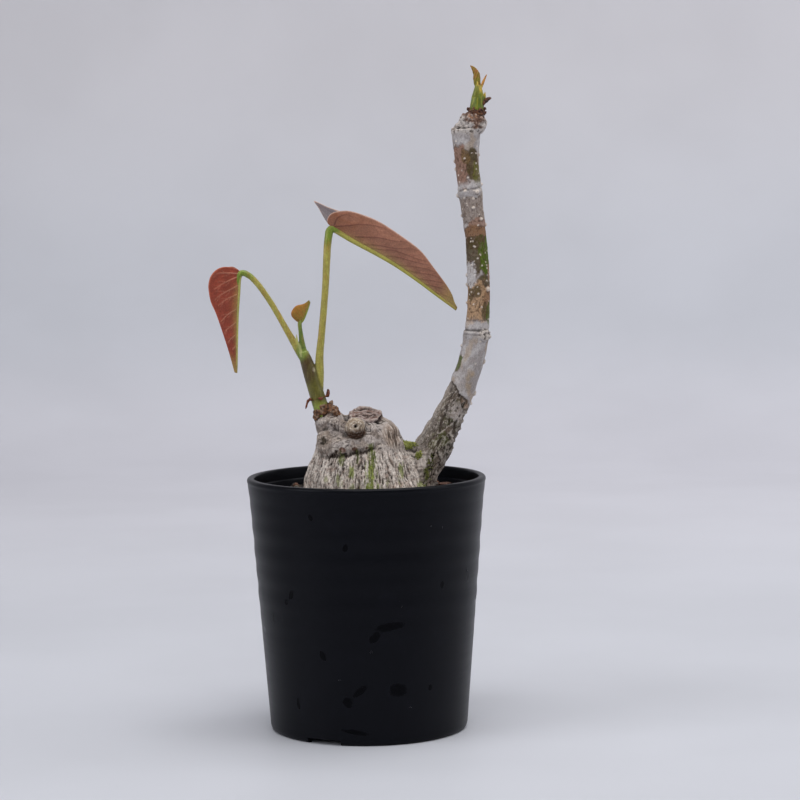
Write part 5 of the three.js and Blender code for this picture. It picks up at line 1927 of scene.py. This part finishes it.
def make_tip_collar():
    """Brown scales round the foot of the bud, one of them curling out."""
    draw = random.Random(31)
    parts = [tube([(TIP[0], TIP[1], TIP[2] - 0.4, 3.2), (TIP[0], TIP[1], TIP[2] + 1.4, 2.9)], 40, 6)]
    for i in range(26):
        turn = 2 * math.pi * (i + draw.random()) / 13
        reach = draw.uniform(2.6, 3.3)
        x, y = TIP[0] + reach * math.cos(turn), TIP[1] + reach * math.sin(turn)
        parts.append(crumb((x, y, TIP[2] + draw.uniform(0.4, 2.3)), draw.uniform(0.4, 0.75), draw))
    parts.append(tube(TIP_SCALE, 16, 30, 1.2))
    return fuse(piece("bud_scales", *joined(parts)), 0.15, 1)


# The stage, the light and the camera
CAMERA = np.array([13, -937.5, 200.4])
CAMERA_PITCH = math.radians(4.66)
CAMERA_ROLL = math.radians(-0.64)
LENS = 112.5
SENSOR = 36

# Lights: name, place, what they face, size, power, colour, and whether they show in reflections
WHITE = (1, 1, 1)
LIGHTS = [
    ("top", (100, -250, 1150), (0, 0, 120), (1100, 900), 10.3, (1, 0.99, 0.97), True),
    ("fill", (60, -1100, 620), (0, 0, 140), (900, 700), 3.0, WHITE, False),
    ("left", (-1000, -500, 620), (0, 0, 120), (700, 900), 5.2, (0.97, 0.98, 1), True),
    ("right", (1050, -250, 560), (0, 0, 120), (700, 900), 2.6, WHITE, True),
    ("backdrop", (450, 450, 1400), (560, 1350, 300), (1700, 600), 11.8, WHITE, True),
]

FLOOR_REACH = 1200
BEND = 500
WALL_TOP = 1100


def make_stage():
    """A pale bowl: a level floor that bends up into a wall all round, with painted light on the far
    floor and painted shade up the wall.
    """
    profile = [(0, 0), (300, 0), (700, 0), (FLOOR_REACH, 0)]
    for turn in np.radians(np.arange(5, 91, 5)):
        profile.append((FLOOR_REACH + BEND * math.sin(turn), BEND - BEND * math.cos(turn)))
    profile.append((FLOOR_REACH + BEND, WALL_TOP))
    columns = 120
    verts = lathe(profile, turns(columns)) - (0, 300, 0)
    sweep = piece("sweep", verts, band_faces(len(profile), columns))
    finish = Finish("paper_sweep", Roughness=0.55)
    apart = finish.add("ShaderNodeSeparateXYZ", {0: finish.objects})
    # Painted light: the floor is paler far behind the pot. Painted shade: the wall is darker higher up.
    behind = finish.span(apart.outputs[1], 0.1, 0.85)
    level = finish.span(apart.outputs[2], 0.0, 0.1, 1, 0)
    far = finish.math("MULTIPLY", behind, level)
    base = finish.mix(colour(192, 194, 202), colour(205, 205, 213), far)
    base = finish.mix(base, colour(189, 188, 194), finish.span(apart.outputs[2], 0.1, 0.36))
    base = finish.shaded(base, finish.noise(160, 3.0), 0.3, 0.7, 0.97, 1.03)
    finish.bump(finish.noise(6, 2.0), 0.05)
    sweep.data.materials.append(finish.put(base))


def make_light(name, place, target, size, power, shade, shiny):
    light = bpy.data.lights.new(name, "AREA")
    light.shape = "RECTANGLE"
    light.size, light.size_y = (side * MM for side in size)
    light.energy = power
    light.color = shade
    lamp = placed(name, light)
    lamp.location = Vector(place) * MM
    lamp.visible_glossy = shiny
    lamp.rotation_euler = (Vector(target) - Vector(place)).to_track_quat("-Z", "Y").to_euler()


def make_camera():
    camera = bpy.data.cameras.new("camera")
    camera.lens = LENS
    camera.sensor_width = SENSOR
    camera.clip_start, camera.clip_end = 0.05, 20
    view = placed("camera", camera)
    up = Vector((0, math.sin(CAMERA_PITCH), math.cos(CAMERA_PITCH)))
    right = Vector((1, 0, 0))
    side = right * math.cos(CAMERA_ROLL) + up * math.sin(CAMERA_ROLL)
    head = up * math.cos(CAMERA_ROLL) - right * math.sin(CAMERA_ROLL)
    turn = Matrix((side, head, side.cross(head))).transposed()
    view.matrix_world = Matrix.Translation(Vector(CAMERA) * MM) @ turn.to_4x4()
    bpy.context.scene.camera = view


def make_world():
    world = bpy.data.worlds.new("room")
    world.use_nodes = True
    background = world.node_tree.nodes["Background"]
    background.inputs["Color"].default_value = (0.8, 0.84, 0.95, 1)
    background.inputs["Strength"].default_value = 0.04
    bpy.context.scene.world = world


def add_pot():
    dress(make_pot(), pot_finish(), "pot_plastic", "pot")
    dress(make_drops(), water_finish(), "pot_plastic")
    dress(make_soil(), soil_finish("soil", False), "soil", "soil")
    dress(make_soil_bits(), soil_finish("soil_bits", True), "soil")
    dress(make_chip(), chip_finish(), "bark_chip", "bark_chip")


def add_wood():
    whole = make_bark()
    base = parted(whole, "base_bark", SEAM, SEAM_NORMAL, False)
    stem = parted(whole, "stem_bark", SEAM, SEAM_NORMAL, True)
    dress(make_moss(whole), soft_finish("moss", 0.8, 0.2), "bark")
    bpy.data.objects.remove(whole)
    dress(base, bark_finish("bark", 2.6, 0.3), "bark", "caudex")
    dress(stem, bark_finish("branch_bark", 1.4, 0.15), "branch_bark", "woody_stem")


def add_shoot():
    collar = make_collar()
    crust_shades(collar, colour(56, 36, 26), colour(112, 76, 50), colour(140, 120, 102))
    dress(collar, soft_finish("brown_crust", 0.8, grain=0.4), "brown_crust", "shoot_collar")
    dried = make_dried()
    crust_shades(dried, colour(58, 26, 18), colour(112, 58, 34), colour(128, 84, 50))
    dress(dried, soft_finish("dry_scale", 0.6, grain=0.3), "brown_crust", "dried_stipules")
    dress(make_shoot(), soft_finish("green_shoot", 0.45, 0.1, 0.15), "green_shoot", "green_shoot")
    for node, shape in LEAVES.items():
        dress(make_leaf(shape), leaf_finish(node, shape["roughness"]), node, node)


def add_tip():
    dress(make_bud(), soft_finish("tip_green", 0.45, 0.1, 0.15, 0.3), "tip_green", "tip_bud")
    dress(make_tip_leaf(), soft_finish("tip_orange", 0.5, 0.1, 0.15, 0.3), "tip_orange", "tip_leaf")
    stipule = make_tip_stipule()
    dress(stipule, soft_finish("tip_stipule", 0.5, 0.1, 0.1, 0.3), "tip_orange", "tip_stipule")
    scales = make_tip_collar()
    crust_shades(scales, colour(42, 23, 17), colour(96, 56, 36), colour(112, 82, 56))
    dress(scales, soft_finish("bud_scale", 0.7, grain=0.3), "brown_crust", "tip_collar")


def main():
    make_camera()
    make_world()
    make_stage()
    bpy.context.scene.view_settings.view_transform = "Standard"
    for row in LIGHTS:
        make_light(*row)
    add_pot()
    add_wood()
    add_shoot()
    add_tip()


main()
